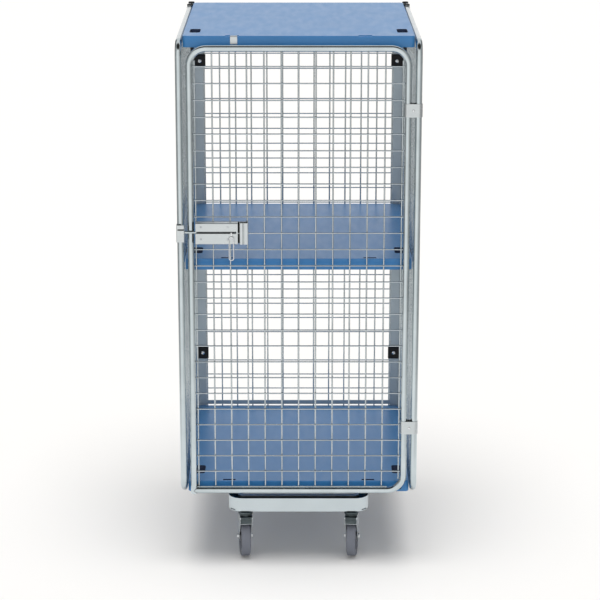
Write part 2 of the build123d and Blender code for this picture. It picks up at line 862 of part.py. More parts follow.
os.makedirs("parts", exist_ok=True)
make_base_and_cage()
make_casters()
make_door_and_latch()
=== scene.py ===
# %% [markdown]
# A security roll container, dressed in Blender
#
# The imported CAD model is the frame. Every body already sits where the real piece sits, in metres, with +Z
# up and the door towards -Y. This lesson keeps that frame and puts smooth tubes, round wires, folded
# sheets and moulded plastic in the place of its plain many-sided solids, one piece at a time.

# %% Load the frame
import json
from math import cos, pi, radians, sin, sqrt, tan

import bmesh
import bpy
from mathutils import Matrix, Vector
from mathutils.geometry import convex_hull_2d


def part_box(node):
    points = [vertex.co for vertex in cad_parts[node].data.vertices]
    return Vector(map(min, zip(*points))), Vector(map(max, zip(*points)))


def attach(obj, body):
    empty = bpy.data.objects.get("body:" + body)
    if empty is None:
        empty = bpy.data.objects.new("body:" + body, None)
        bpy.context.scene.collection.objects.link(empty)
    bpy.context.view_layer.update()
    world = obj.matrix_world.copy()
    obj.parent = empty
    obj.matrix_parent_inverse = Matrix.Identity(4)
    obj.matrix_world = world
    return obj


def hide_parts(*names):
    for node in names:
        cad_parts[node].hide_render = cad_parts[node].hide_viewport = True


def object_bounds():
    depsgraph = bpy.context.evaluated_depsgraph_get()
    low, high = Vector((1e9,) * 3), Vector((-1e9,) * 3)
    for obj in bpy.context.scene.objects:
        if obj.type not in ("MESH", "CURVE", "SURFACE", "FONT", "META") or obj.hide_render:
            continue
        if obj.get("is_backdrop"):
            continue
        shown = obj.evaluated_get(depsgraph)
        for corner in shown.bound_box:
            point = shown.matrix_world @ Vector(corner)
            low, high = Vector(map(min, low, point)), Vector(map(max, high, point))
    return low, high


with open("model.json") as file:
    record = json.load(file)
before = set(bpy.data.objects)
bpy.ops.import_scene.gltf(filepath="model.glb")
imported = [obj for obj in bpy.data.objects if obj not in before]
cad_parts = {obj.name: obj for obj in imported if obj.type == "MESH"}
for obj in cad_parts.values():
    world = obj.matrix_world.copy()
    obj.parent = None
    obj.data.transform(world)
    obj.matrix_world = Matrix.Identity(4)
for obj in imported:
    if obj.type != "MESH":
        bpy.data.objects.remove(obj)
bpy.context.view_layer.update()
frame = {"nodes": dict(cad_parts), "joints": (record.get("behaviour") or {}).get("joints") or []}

MM = 0.001

# %% [markdown]
# The container stands on a few main places: the tubes' radius, the posts, the plane of the door. They
# could be typed in again, but then scene and CAD could drift apart. So they are read from the boxes of
# the CAD nodes: a tube's box gives its radius and its axis, and a smooth tube lands exactly where the
# plain one was.

# %% Read the main places
def middle(node):
    """The middle of a CAD node's box."""
    low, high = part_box(node)
    return (low + high) / 2


post_low, post_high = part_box("right_side_frame")
TUBE_R = (post_high.x - post_low.x) / 2
TUBE_WALL = 1.5 * MM
POST_X = post_high.x - TUBE_R
DOOR_Y = post_low.y + TUBE_R
BOTTOM_RAIL_Z = post_low.z + TUBE_R
TOP_RAIL_Z = post_high.z - TUBE_R
REAR_POST_Y = middle("right_rear_post").y
door_low, door_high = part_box("door_frame")
DOOR_X = door_high.x - TUBE_R
DOOR_TOP_Z = door_high.z - TUBE_R
DOOR_BOTTOM_Z = door_low.z + TUBE_R
X_AXIS, Y_AXIS, Z_AXIS = Vector((1, 0, 0)), Vector((0, 1, 0)), Vector((0, 0, 1))
print("tube radius", TUBE_R, "posts at", POST_X, "door plane", DOOR_Y)

# %% [markdown]
# Bent tube, folded sheet and moulded edges are all straight runs joined by arcs. Blender's curves could
# draw them, with handles to set by eye. One small function makes such a line from its corners and radii
# instead, so that every bend in the model has a true radius.

# %% Lines with rounded corners
def soft_line(corners, closed=False, steps=8):
    """Points along straight runs; each corner is a place and the radius that rounds it."""
    points = []
    count = len(corners)
    for index, (place, radius) in enumerate(corners):
        here = Vector(place)
        at_end = not closed and index in (0, count - 1)
        if at_end or radius == 0:
            points.append(here)
            continue
        back = (Vector(corners[index - 1][0]) - here).normalized()
        ahead = (Vector(corners[(index + 1) % count][0]) - here).normalized()
        half = back.angle(ahead) / 2
        centre = here + (back + ahead).normalized() * radius / sin(half)
        start = here + back * radius / tan(half) - centre
        end = here + ahead * radius / tan(half) - centre
        points += [centre + start.slerp(end, step / steps).normalized() * radius for step in range(steps + 1)]
    return points


print("a test corner has", len(soft_line([((0, 0), 0), ((1, 0), 0.2), ((1, 1), 0)])), "points")

# %% [markdown]
# Everything long in this model, a tube, a wire or a channel, is a ring of points that is carried along a
# line and joined by faces. Blender's curve bevel could do it in one step. Rings in mesh code can change
# size on the way, so that a tube can end in an open mouth and a weld bead can be uneven.

# %% Rings along a line
def circle(radius, sides):
    """Points round a circle about the origin."""
    turns = [2 * pi * side / sides for side in range(sides)]
    return [Vector((radius * cos(turn), radius * sin(turn))) for turn in turns]


def skin(bm, rings, closed=False, caps=True):
    """Join rings of points, one after the other, by faces; gives back the faces."""
    pairs = list(zip(rings, rings[1:]))
    if closed:
        pairs.append((rings[-1], rings[0]))
    made = []
    for first, second in pairs:
        count = len(first)
        for index in range(count):
            after = (index + 1) % count
            made.append(bm.faces.new((first[index], first[after], second[after], second[index])))
    if caps and not closed:
        made += [bm.faces.new(rings[0]), bm.faces.new(rings[-1])]
    return made


def directions(path, closed=False):
    """The direction of travel at each point of a path."""
    ways = []
    count = len(path)
    for index, here in enumerate(path):
        arriving = here - path[index - 1]
        leaving = path[(index + 1) % count] - here
        if not closed and index == 0:
            arriving = leaving
        if not closed and index == count - 1:
            leaving = arriving
        ways.append((arriving.normalized() + leaving.normalized()).normalized())
    return ways


def ring_at(bm, point, way, side, outline):
    """One outline square to the direction of travel, with its first axis near a given side."""
    right = (side - way * side.dot(way)).normalized()
    up = right.cross(way)
    return [bm.verts.new(point + right * spot[0] + up * spot[1]) for spot in outline]


first, second = circle(1, 12)[:2]
print("twelve points lie", round((second - first).length, 2), "radii apart")

# %% [markdown]
# The cage is made of round steel tube with a thin wall. A plain cylinder could stand for each tube. A
# ring that turns back into the bore at an open end shows the real wall, which is in view at the foot of
# every post.

# %% Tubes
TUBE_SIDES, BORE_DEPTH = 28, 3


def tube(bm, path, radius, side, open_start=False):
    """A round tube along a path; an open start shows its wall and a bore, some radii deep."""
    stations = [(point, way, radius) for point, way in zip(path, directions(path))]
    if open_start:
        point, way, _ = stations[0]
        bore = radius - TUBE_WALL
        stations = [(point + way * BORE_DEPTH * radius, way, bore), (point, way, bore)] + stations
    skin(bm, [ring_at(bm, point, way, side, circle(size, TUBE_SIDES)) for point, way, size in stations])


print("the sides of a tube are", round(2 * pi * TUBE_R / TUBE_SIDES / MM, 2), "mm wide")

# %% [markdown]
# A piece becomes part of the container in one place. It gets its mesh and its finish, the body that carries
# it and the CAD nodes that it stands for. That could be done piece by piece; one function makes sure that
# none of it is forgotten, and prints what was made.

# %% Make pieces
SMOOTH = 32
pieces = []


def add_piece(name, bm, body, finish, nodes=(), smooth=SMOOTH):
    """Turn mesh data into a piece that rides on a body and stands for CAD nodes."""
    bmesh.ops.recalc_face_normals(bm, faces=bm.faces)
    mesh = bpy.data.meshes.new(name)
    bm.to_mesh(mesh)
    bm.free()
    for coat in finish if isinstance(finish, tuple) else (finish,):
        mesh.materials.append(coat)
    mesh.shade_smooth()
    mesh.set_sharp_from_angle(angle=radians(smooth))
    piece = bpy.data.objects.new(name, mesh)
    bpy.context.scene.collection.objects.link(piece)
    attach(piece, body)
    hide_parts(*nodes)
    pieces.append(piece)
    print(f"{name}: {len(mesh.vertices)} points on {body}")
    return piece


# %% [markdown]
# A real finish is never one even colour. Every finish here starts from a Principled shader whose steady
# values sit on its own sockets. The nodes could be laid out by hand in the shader editor; short functions
# make them instead, so that a finish later reads as one line of values.

# %% Shader nodes
def new_finish(name, **steady):
    """A material and its shader, with the values that are the same all over."""
    material = bpy.data.materials.new(name)
    material.use_nodes = True
    shader = material.node_tree.nodes["Principled BSDF"]
    for socket, value in steady.items():
        shader.inputs[socket.replace("_", " ")].default_value = value
    return material, shader


def node(material, kind, links=None, **values):
    """A shader node with its values and its incoming links."""
    made = material.node_tree.nodes.new(kind)
    for socket, value in values.items():
        made.inputs[socket.replace("_", " ")].default_value = value
    for socket, source in (links or {}).items():
        material.node_tree.links.new(source, made.inputs[socket])
    return made


def wire_up(material, shader, **sources):
    """Link varying values to the shader's sockets."""
    for socket, source in sources.items():
        material.node_tree.links.new(source, shader.inputs[socket.replace("_", " ")])


print("finishes before these:", len(bpy.data.materials))

# %% [markdown]
# Clouds, marks and grain on the real pieces have a size in millimetres. An image texture could show them,
# but each piece would have to be unwrapped. Noise in object space needs no unwrapping, and a tube and a
# wire show the same size of mark.

# %% Noise, spread and relief
def cloud(material, scale, detail, stretch=(1, 1, 1)):
    """Noise in object space, stretched along an axis by a smaller number there."""
    place = node(material, "ShaderNodeTexCoord").outputs["Object"]
    shaped = node(material, "ShaderNodeMapping", {"Vector": place}, Scale=stretch).outputs[0]
    return node(material, "ShaderNodeTexNoise", {"Vector": shaped}, Scale=scale, Detail=detail).outputs[0]


def reach(material, source, lowest, highest, from_low=0.3, from_high=0.7):
    """Spread a source between a lowest and a highest value."""
    spread = node(material, "ShaderNodeMapRange", {"Value": source}, From_Min=from_low, From_Max=from_high,
                  To_Min=lowest, To_Max=highest)
    return spread.outputs[0]


def tint(material, source, first, second, start=0.3, end=0.7):
    """Blend two colours by a source."""
    ramp = node(material, "ShaderNodeValToRGB", {"Fac": source})
    for stop, place, colour in zip(ramp.color_ramp.elements, (start, end), (first, second)):
        stop.position = place
        stop.color = (*colour, 1)
    return ramp.outputs["Color"]


def relief(material, shader, height, distance, strength):
    """Bump of a real depth in metres."""
    bump = node(material, "ShaderNodeBump", {"Height": height}, Strength=strength, Distance=distance)
    material.node_tree.links.new(bump.outputs[0], shader.inputs["Normal"])


print("noise of scale 100 changes about every", round(1 / 100 / MM), "mm")

# %% [markdown]
# Bright zinc plating is a metal with a soft mirror. It isn't even: the bath leaves faint clouds, and
# handling leaves fine rub marks along the tube. One grey metal would look too clean, so the clouds move
# the colour a little and a stretched noise moves the roughness. Reflections then break up as they do on
# the real thing.

# %% Zinc finishes
# noise scale and detail
CLOUDS, RUBS, GRAIN = (14.0, 4.0), (160.0, 3.0), (320.0, 2.0)
ZINC_BUMP = 0.5


def zinc(name, dark, bright, rough_low, rough_high, stretch, grain=0.01 * MM):
    """Plated steel: cloudy colour, uneven gloss, faint rub marks."""
    material, shader = new_finish(name, Metallic=1.0)
    clouds = cloud(material, *CLOUDS)
    rubs = cloud(material, *RUBS, stretch)
    wire_up(material, shader, Base_Color=tint(material, clouds, dark, bright),
            Roughness=reach(material, rubs, rough_low, rough_high))
    relief(material, shader, cloud(material, *GRAIN, stretch), grain, ZINC_BUMP)
    return material


tube_zinc = zinc("tube zinc", (0.53, 0.59, 0.605), (0.62, 0.68, 0.695), 0.09, 0.17, (1, 1, 0.15))
wire_zinc = zinc("wire zinc", (0.46, 0.505, 0.52), (0.59, 0.635, 0.65), 0.14, 0.28, (1, 1, 1))
sheet_zinc = zinc("sheet zinc", (0.58, 0.615, 0.62), (0.63, 0.665, 0.665), 0.26, 0.36, (0.2, 1, 1))
strip_zinc = zinc("strip zinc", (0.42, 0.48, 0.52), (0.45, 0.51, 0.55), 0.34, 0.42, (1, 1, 0.1), 0.005 * MM)
channel_zinc = zinc("channel zinc", (0.54, 0.595, 0.61), (0.57, 0.625, 0.64), 0.17, 0.20, (0.3, 0.3, 1),
                    0.002 * MM)
# painted shade: the inside of the chassis channel gets a dark coat that stands for the shade in it
channel_painted_shade = zinc("channel inside painted shade", (0.16, 0.18, 0.19), (0.24, 0.26, 0.27), 0.42, 0.56, (1, 1, 1))
caster_zinc = zinc("caster zinc", (0.50, 0.54, 0.555), (0.66, 0.69, 0.70), 0.22, 0.36, (1, 1, 0.4))
race_steel = zinc("race steel", (0.075, 0.095, 0.10), (0.14, 0.165, 0.17), 0.30, 0.46, (1, 1, 1))
# painted shade: a dark steel for the parts inside the latch housing, standing for the shade in there
housed_painted_shade = zinc("housed steel painted shade", (0.045, 0.05, 0.052), (0.075, 0.08, 0.083), 0.34, 0.50, (0.2, 1, 1))
# bright zinc of the axles, bolts, rivets, screws and the loop; on the bolt's lug and eye it is a painted
# highlight
bright_zinc_and_glint = zinc("bright zinc and painted glint", (0.72, 0.74, 0.75), (0.84, 0.85, 0.85), 0.12, 0.26, (1, 1, 1))
weld_zinc = zinc("weld zinc", (0.38, 0.41, 0.43), (0.62, 0.65, 0.66), 0.28, 0.50, (1, 1, 1), 0.2 * MM)
print("finishes so far:", len(bpy.data.materials))

# %% [markdown]
# The edges of moulded plastic are polished by handling and turn paler. The mesh's Pointiness could find
# them, but it is kept on the points and smears across wide faces. The Bevel node rounds the normal near
# an edge while the picture is made: where that normal leaves the true one there is an edge, however large
# the faces are.

# %% Worn edges
EDGE_RAYS, EDGE_WIDTH, EDGE_LEAN = 6, 1.2 * MM, (0.80, 0.98)


def worn_edges(material):
    """1 close to an edge, 0 on flats: where a rounded-off normal leaves the true one."""
    rounded = node(material, "ShaderNodeBevel", Radius=EDGE_WIDTH)
    rounded.samples = EDGE_RAYS
    true = node(material, "ShaderNodeNewGeometry").outputs["Normal"]
    lean = node(material, "ShaderNodeVectorMath", {0: rounded.outputs["Normal"], 1: true})
    lean.operation = "DOT_PRODUCT"
    return reach(material, lean.outputs["Value"], 1.0, 0.0, *EDGE_LEAN)


print("edges turn paler over", EDGE_WIDTH / MM, "mm")

# %% [markdown]
# Some values of a finish are worked out from others: how much a worn edge pales, or which of two colours
# shows. Blender has a node for sums and one for mixing, and both could be added in the shader editor. Two
# short functions add one node each, which keeps the finishes below readable.

# %% Sums and layers
def work_out(material, operation, first, second=None):
    """One step of arithmetic on two sources or on a source and a number."""
    made = node(material, "ShaderNodeMath")
    made.operation = operation
    for socket, source in enumerate((first, second)):
        if isinstance(source, (int, float)):
            made.inputs[socket].default_value = source
        elif source is not None:
            material.node_tree.links.new(source, made.inputs[socket])
    return made.outputs[0]


def over(material, factor, base, top):
    """Lay a colour over another by a factor."""
    mix = node(material, "ShaderNodeMix")
    mix.data_type = "RGBA"
    links = material.node_tree.links
    links.new(factor, mix.inputs["Factor"])
    links.new(base, mix.inputs[6])
    if isinstance(top, tuple):
        mix.inputs[7].default_value = (*top, 1)
    else:
        links.new(top, mix.inputs[7])
    return mix.outputs[2]


kinds = bpy.types.ShaderNodeMath.bl_rna.properties["operation"].enum_items
print("a Math node knows", len(kinds), "kinds of sum")

# %% [markdown]
# The plates are blue moulded plastic with a fine grain, and the walls of their slots and slits get painted
# shade, a dark blue made in the same way. The small black parts are the same kind of plastic, the buffers are
# rubber, and the wheels are grey with a dull tread. The top of the chassis channel's lip gets painted light:
# a pale matte coat, made in the same way, that stands for light falling on it. Each could be a plain colour;
# one function gives them all grain, scuffs and paler edges, and only the values differ.

# %% Plastic and rubber finishes
# noise scale and detail
BATCHES, SCUFFS, FINE_GRAIN = (6.0, 5.0), (45.0, 6.0), (350.0, 2.0)
BATCH_SHIFT, SCUFF_STRETCH, PLASTIC_BUMP = 1.06, (1, 0.25, 1), 0.6


def moulded(name, shade, pale, rough_low, rough_high, grain=0.012 * MM, wear=0.35, **steady):
    """Moulded plastic or rubber: fine grain, faint scuffs, paler worn edges."""
    material, shader = new_finish(name, **steady)
    lighter = tuple(BATCH_SHIFT * part for part in shade)
    base = tint(material, cloud(material, *BATCHES), shade, lighter)
    faded = work_out(material, "MULTIPLY", worn_edges(material), wear)
    scuffs = cloud(material, *SCUFFS, SCUFF_STRETCH)
    wire_up(material, shader, Base_Color=over(material, faded, base, pale),
            Roughness=reach(material, scuffs, rough_low, rough_high))
    relief(material, shader, cloud(material, *FINE_GRAIN), grain, PLASTIC_BUMP)
    return material


blue_plastic = moulded("blue plastic", (0.034, 0.178, 0.415), (0.15, 0.31, 0.54), 0.28, 0.36)
# painted shade: the walls and floors of the slots and slits get a dark blue that stands for the shade in them
slot_painted_shade = moulded("slot wall painted shade", (0.010, 0.022, 0.060), (0.05, 0.10, 0.20), 0.50, 0.66)
plate_finish = (blue_plastic, slot_painted_shade)
black_plastic = moulded("black plastic", (0.007, 0.007, 0.008), (0.04, 0.04, 0.043), 0.34, 0.50,
                        Specular_IOR_Level=0.25)
black_rubber = moulded("black rubber", (0.010, 0.010, 0.010), (0.04, 0.04, 0.04), 0.60, 0.80)
tread_grey = moulded("tread grey", (0.150, 0.160, 0.190), (0.24, 0.25, 0.28), 0.48, 0.66, 0.08 * MM)
hub_grey = moulded("hub grey", (0.190, 0.200, 0.225), (0.33, 0.34, 0.36), 0.34, 0.48)
# painted light: a pale matte coat on the top of the channel's lip
lip_painted_light = moulded("lip top painted light", (0.80, 0.80, 0.82), (0.86, 0.86, 0.87), 0.40, 0.56)
print("finishes so far:", len(bpy.data.materials))

# %% [markdown]
# Each side frame is one tube, bent twice into a C, with its ends coped onto a straight rear post. It
# could be three tubes and two elbows. One sweep along a rounded line has no seams, and its bends are arcs
# of the bender's radius.

# %% Side frames
FRAME_BEND, BEND_STEPS = 40 * MM, 14

for name, side in (("left", -1), ("right", 1)):
    x = side * POST_X
    corners = [
        ((x, REAR_POST_Y, TOP_RAIL_Z), 0), ((x, DOOR_Y, TOP_RAIL_Z), FRAME_BEND),
        ((x, DOOR_Y, BOTTOM_RAIL_Z), FRAME_BEND), ((x, REAR_POST_Y, BOTTOM_RAIL_Z), 0),
    ]
    bm = bmesh.new()
    tube(bm, soft_line(corners, steps=BEND_STEPS), TUBE_R, X_AXIS)
    add_piece(f"{name}_bent_frame_tube", bm, "carcass", tube_zinc, [f"{name}_side_frame"])

# %% [markdown]
# Caps, wheels, rivets and screw heads are turned: a profile is spun round an axis. Blender's Screw
# modifier could spin it. In mesh code, points on the axis become one point, so that a closed end has no
# crease in its middle.

# %% Turned parts
CAP_HEIGHT, CAP_ROUND, CAP_STEPS = 4 * MM, 1.8 * MM, 28


def lathe(bm, profile, place, steps, closed=False):
    """Spin a profile of (radius, height) about the Z axis of a place."""
    rings = []
    for radius, height in profile:
        ring = circle(radius, steps) if radius > 0 else [Vector((0, 0))]
        rings.append([bm.verts.new(place @ Vector((x, y, height))) for x, y in ring])
    pairs = list(zip(rings, rings[1:]))
    if closed:
        pairs.append((rings[-1], rings[0]))
    for first, second in pairs:
        for index in range(steps):
            after = (index + 1) % steps
            corners = [first[index % len(first)], first[after % len(first)]]
            corners += [second[after % len(second)], second[index % len(second)]]
            bm.faces.new(list(dict.fromkeys(corners)))


print("the caps are turned in", CAP_STEPS, "steps")

# %% [markdown]
# The rear posts and the rear panel's uprights are straight tubes, open at the foot and closed on top by
# black plastic caps. A cylinder each would do from afar. Swept tubes show their wall at the foot, and a
# cap has a rounded head.

# %% Rear posts, uprights and caps
STRAIGHT_TUBES = ("left_rear_post", "right_rear_post", "left_rear_upright", "right_rear_upright")
for node_name in STRAIGHT_TUBES:
    low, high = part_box(node_name)
    axis = middle(node_name)
    bm = bmesh.new()
    ends = [Vector((axis.x, axis.y, z)) for z in (low.z, high.z)]
    tube(bm, ends, TUBE_R, X_AXIS, open_start=True)
    add_piece(node_name.replace("rear", "rear_straight"), bm, "carcass", tube_zinc, [node_name])

bm = bmesh.new()
for node_name in STRAIGHT_TUBES:
    axis = middle(node_name)
    foot = Matrix.Translation((axis.x, axis.y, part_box(node_name)[1].z))
    head = soft_line([((0, 0), 0), ((TUBE_R, 0), 0), ((TUBE_R, CAP_HEIGHT), CAP_ROUND), ((0, CAP_HEIGHT), 0)])
    lathe(bm, [(spot.x, spot.y) for spot in head], foot, CAP_STEPS)
add_piece("tube_end_caps", bm, "carcass", black_plastic, ["tube_caps"])

# %% [markdown]
# Where one tube is coped onto another, a weld bead runs round the joint. A torus would not follow it,
# because two equal tubes at a right angle meet in a saddle-shaped line. That line has a simple formula,
# and a thin uneven bar along it is the bead.

# %% Weld beads on the tubes
BEAD_R, BEAD_STEPS, BEAD_SIDES, BEAD_RIPPLE, RIPPLE_TURN = 1.3 * MM, 48, 8, 0.16, 2.6


def saddle_bead(bm, post, rail_way, side):
    """A bead round a rail's end that meets an upright tube at a place."""
    points = []
    for step in range(BEAD_STEPS):
        turn = 2 * pi * step / BEAD_STEPS
        across = TUBE_R * cos(turn)
        out = sqrt(max(TUBE_R**2 - across**2, 0))
        points.append(post + side * across + Z_AXIS * TUBE_R * sin(turn) + rail_way * out)
    ways = directions(points, closed=True)
    rings = []
    for step, (point, way) in enumerate(zip(points, ways)):
        size = BEAD_R * (1 + BEAD_RIPPLE * sin(step * RIPPLE_TURN))
        rings.append(ring_at(bm, point, way, rail_way, circle(size, BEAD_SIDES)))
    skin(bm, rings, closed=True)


bm = bmesh.new()
for side in (-1, 1):
    for z in (BOTTOM_RAIL_Z, TOP_RAIL_Z):
        saddle_bead(bm, Vector((side * POST_X, REAR_POST_Y, z)), -Y_AXIS, X_AXIS)
add_piece("side_frame_welds", bm, "carcass", weld_zinc)

# %% [markdown]
# The mesh panels are made of straight wires. Their places could be worked out again from a pitch; here
# they are read from the CAD mesh, so that they can't differ. Each island of it is one wire, and its box
# gives the wire's axis and radius.

# %% Find the wires of a mesh
def wires_of(node_name):
    """The start, end and radius of each wire in a CAD mesh."""
    bm = bmesh.new()
    bm.from_mesh(frame["nodes"][node_name].data)
    bmesh.ops.remove_doubles(bm, verts=bm.verts, dist=0.005 * MM)
    waiting = set(bm.verts)
    found = []
    while waiting:
        island, queue = set(), [waiting.pop()]
        while queue:
            vert = queue.pop()
            island.add(vert)
            fresh = {edge.other_vert(vert) for edge in vert.link_edges} & waiting
            waiting -= fresh
            queue += fresh
        low = Vector([min(vert.co[axis] for vert in island) for axis in range(3)])
        high = Vector([max(vert.co[axis] for vert in island) for axis in range(3)])
        size = high - low
        long = max(range(3), key=lambda axis: size[axis])
        radius = max(size[axis] for axis in range(3) if axis != long) / 2
        start, end = (low + high) / 2, (low + high) / 2
        start[long], end[long] = low[long], high[long]
        found.append((start, end, radius))
    bm.free()
    return sorted(found, key=lambda wire: tuple(wire[0]))


door_wires = wires_of("door_mesh")
print("the door has", len(door_wires), "wires")

# %% [markdown]
# Each mesh wire is a drawn bar, cut off with a small chamfer, and where two wires cross they are welded
# by a squashed nugget of metal. A cylinder and a ball could stand for them. Rings with a few points are
# lighter, which counts where a piece has so many of both.

# %% Wires and weld nuggets
# height and width of each tier of a nugget, as shares of its half height and half width
NUGGET_TIERS, NUGGET_SIDES = ((-0.75, 0.66), (0.0, 1.0), (0.75, 0.66)), 8


def bar(bm, start, end, radius, side, sides=12, chamfer=0.35):
    """A straight round bar with chamfered ends, such as a mesh wire; gives back its faces."""
    way = (end - start).normalized()
    nose = way * radius * chamfer
    stations = [(start, 1 - chamfer), (start + nose, 1), (end - nose, 1), (end, 1 - chamfer)]
    rings = [ring_at(bm, point, way, side, circle(radius * share, sides)) for point, share in stations]
    return skin(bm, rings)


def nugget(bm, centre, reach_x, reach_y, reach_z):
    """A small squashed ball of weld metal."""
    rings = []
    for rise, share in NUGGET_TIERS:
        spots = [Vector((spot.x * share * reach_x, spot.y * share * reach_y, rise * reach_z))
                 for spot in circle(1, NUGGET_SIDES)]
        rings.append([bm.verts.new(centre + spot) for spot in spots])
    skin(bm, rings)


print("a nugget has", len(NUGGET_TIERS) * NUGGET_SIDES, "points")

# %% [markdown]
# The panels are resistance-welded: uprights on one side, cross wires on the other. An Array modifier
# could repeat one wire, but the wires differ in length and place. So each wire is made by itself, and a
# loop over uprights and cross wires finds where they meet.

# %% Wire meshes
# sink, depth, width and height of a nugget, as shares of its wires
WELD_SINK, WELD_DEEP, WELD_WIDE, WELD_TALL = 0.9, 0.8, 1.15, 1.3
WIRE_SMOOTH = 50


def mesh_piece(name, node_name, body, side):
    """Round wires with a nugget at each crossing."""
    wires = wires_of(node_name)
    bm = bmesh.new()
    for start, end, radius in wires:
        bar(bm, start, end, radius, side)
    uprights = [wire for wire in wires if abs((wire[1] - wire[0]).z) > 0.5 * (wire[1] - wire[0]).length]
    crossings = [wire for wire in wires if wire not in uprights]
    flat = 1 if abs(side.y) else 0
    wide = 1 - flat
    count = 0
    for low, high, thick in uprights:
        for first, last, thin in crossings:
            if not first[wide] - thick < low[wide] < last[wide] + thick or not low.z < first.z < high.z:
                continue
            spot = Vector((low.x, low.y, first.z))
            outward = 1 if first[flat] > low[flat] else -1
            spot[flat] = low[flat] + outward * thick * WELD_SINK
            size = [0, 0]
            size[flat], size[wide] = WELD_DEEP * thin, WELD_WIDE * thick
            nugget(bm, spot, size[0], size[1], WELD_TALL * thin)
            count += 1
    print(node_name, len(wires), "wires,", count, "welds")
    return add_piece(name, bm, body, wire_zinc, [node_name], smooth=WIRE_SMOOTH)


mesh_piece("left_side_wires", "left_side_mesh", "carcass", X_AXIS)
mesh_piece("right_side_wires", "right_side_mesh", "carcass", X_AXIS)
mesh_piece("rear_panel_wires", "rear_mesh", "carcass", Y_AXIS)
mesh_piece("door_wires", "door_mesh", "door", Y_AXIS)

# %% [markdown]
# The plates are injection-moulded, with every rim rounded. A box with a Bevel modifier would come near,
# but the slots and slits need rims too. So a plate is laid up as rows of one outline, each a little
# further in or higher than the last.

# %% Plate rims
PLATE_CORNER, TOP_ROUND, RIM_ROUND = 12 * MM, 1.6 * MM, 0.8 * MM


def rounded_rectangle(width, depth, radius, steps=8):
    """A rectangle about the origin with rounded corners."""
    x, y = width / 2, depth / 2
    spots = ((x, -y), (x, y), (-x, y), (-x, -y))
    return soft_line([(spot, radius) for spot in spots], closed=True, steps=steps)


def moved(outline, x, y):
    """An outline at another place."""
    return [(spot[0] + x, spot[1] + y) for spot in outline]


def quarter(radius, steps=4):
    """Inset and drop along a rounded rim, from its wall to its top."""
    turns = [pi / 2 * step / steps for step in range(steps + 1)]
    return [(radius - radius * cos(turn), radius - radius * sin(turn)) for turn in turns]


def rim(bm, outlines, coat=0):
    """Rows of one outline at changing size and height, joined by faces; gives back the rows."""
    rows = [[bm.verts.new((spot[0], spot[1], height)) for spot in outline] for outline, height in outlines]
    for face in skin(bm, rows, caps=False):
        face.material_index = coat
    return rows


print("a plate's top rim is rounded in", len(quarter(TOP_ROUND)), "rows")

# %% [markdown]
# Each plate has two oblong slots, and the deck and the shelf have two blind slits near their front edge.
# Booleans could cut them. Rows of points keep the mesh clean, and give the walls of the openings a coat of
# their own: painted shade, a dark blue that stands for the shade inside them.

# %% Slots and slits
PLATE_SKIN, PLATE_SKIRT, PLATE_RIB = 4 * MM, 4 * MM, 3.5 * MM
SLOT_WIDTH, SLOT_LENGTH, SLOT_CORNER, SLOT_EDGE, SLOT_SETBACK = 30 * MM, 74 * MM, 8 * MM, 33 * MM, 107 * MM
SLOT_LIP, LIP_MIDDLE = 0.8 * MM, 0.25 * MM
SLIT_WIDTH, SLIT_GAP, SLIT_DEPTH, SLIT_SETBACK, SLIT_X = 38 * MM, 10 * MM, 12 * MM, 12 * MM, 214 * MM
SLIT_CORNER, SLIT_LIP, CUP_CORNER, SLIT_STEPS = 1 * MM, 0.4 * MM, 1.5 * MM, 3


def slot_outline(grow):
    """An oblong slot, grown all round, with the same number of points at each size."""
    return rounded_rectangle(SLOT_WIDTH + 2 * grow, SLOT_LENGTH + 2 * grow, SLOT_CORNER + grow)


def slit_cup(bm, x, y, floor_z, under, low_z):
    """The closed cup below the skin that a blind slit is moulded in."""
    inner, outer = SLIT_LIP, PLATE_RIB
    rows = ((inner, floor_z - inner), (inner, under + inner), (outer, under + inner), (outer, low_z))
    outlines = [rounded_rectangle(SLIT_WIDTH + 2 * grow, SLIT_GAP + 2 * grow, CUP_CORNER, SLIT_STEPS)
                for grow, _ in rows]
    cup = rim(bm, [(moved(outline, x, y), z) for outline, (_, z) in zip(outlines, rows)])
    bm.faces.new(cup[0])
    bm.faces.new(cup[-1])


def blind_slit(bm, x, y, low_z, top):
    """A slit with a floor, and the closed cup below the skin that it is moulded in; gives back its rim."""
    pocket = [rounded_rectangle(SLIT_WIDTH + grow, SLIT_GAP + grow, SLIT_CORNER + grow / 2, SLIT_STEPS)
              for grow in (2 * SLIT_LIP, 0.0, 0.0)]
    heights = (top, top - SLIT_LIP, top - SLIT_DEPTH)
    # the slit's walls and floor take coat 1, the painted shade
    slit = rim(bm, [(moved(spot, x, y), height) for spot, height in zip(pocket, heights)], 1)
    bm.faces.new(slit[-1]).material_index = 1
    slit_cup(bm, x, y, heights[-1], top - PLATE_SKIN, low_z)
    return slit[0]


print("slots", SLOT_WIDTH, "by", SLOT_LENGTH, "m and slits", SLIT_WIDTH, "by", SLIT_GAP, "m")

# %% [markdown]
# A plate is a thin flat skin with a skirt all round, open below. Solidify could give it its thickness,
# but skin and skirt differ. So the rows run down the inside of the skirt, round its foot and up the
# outside to the top, and the flat faces between the rims are filled last.

# %% One plate
def edges_of(row):
    """The edges round one row of points."""
    members = set(row)
    return [edge for vert in row for edge in vert.link_edges if edge.other_vert(vert) in members]


def fill(bm, *rows):
    """A flat face between an outer row and the rows of its holes."""
    around = list(dict.fromkeys(edge for row in rows for edge in edges_of(row)))
    bmesh.ops.triangle_fill(bm, use_beauty=True, edges=around)


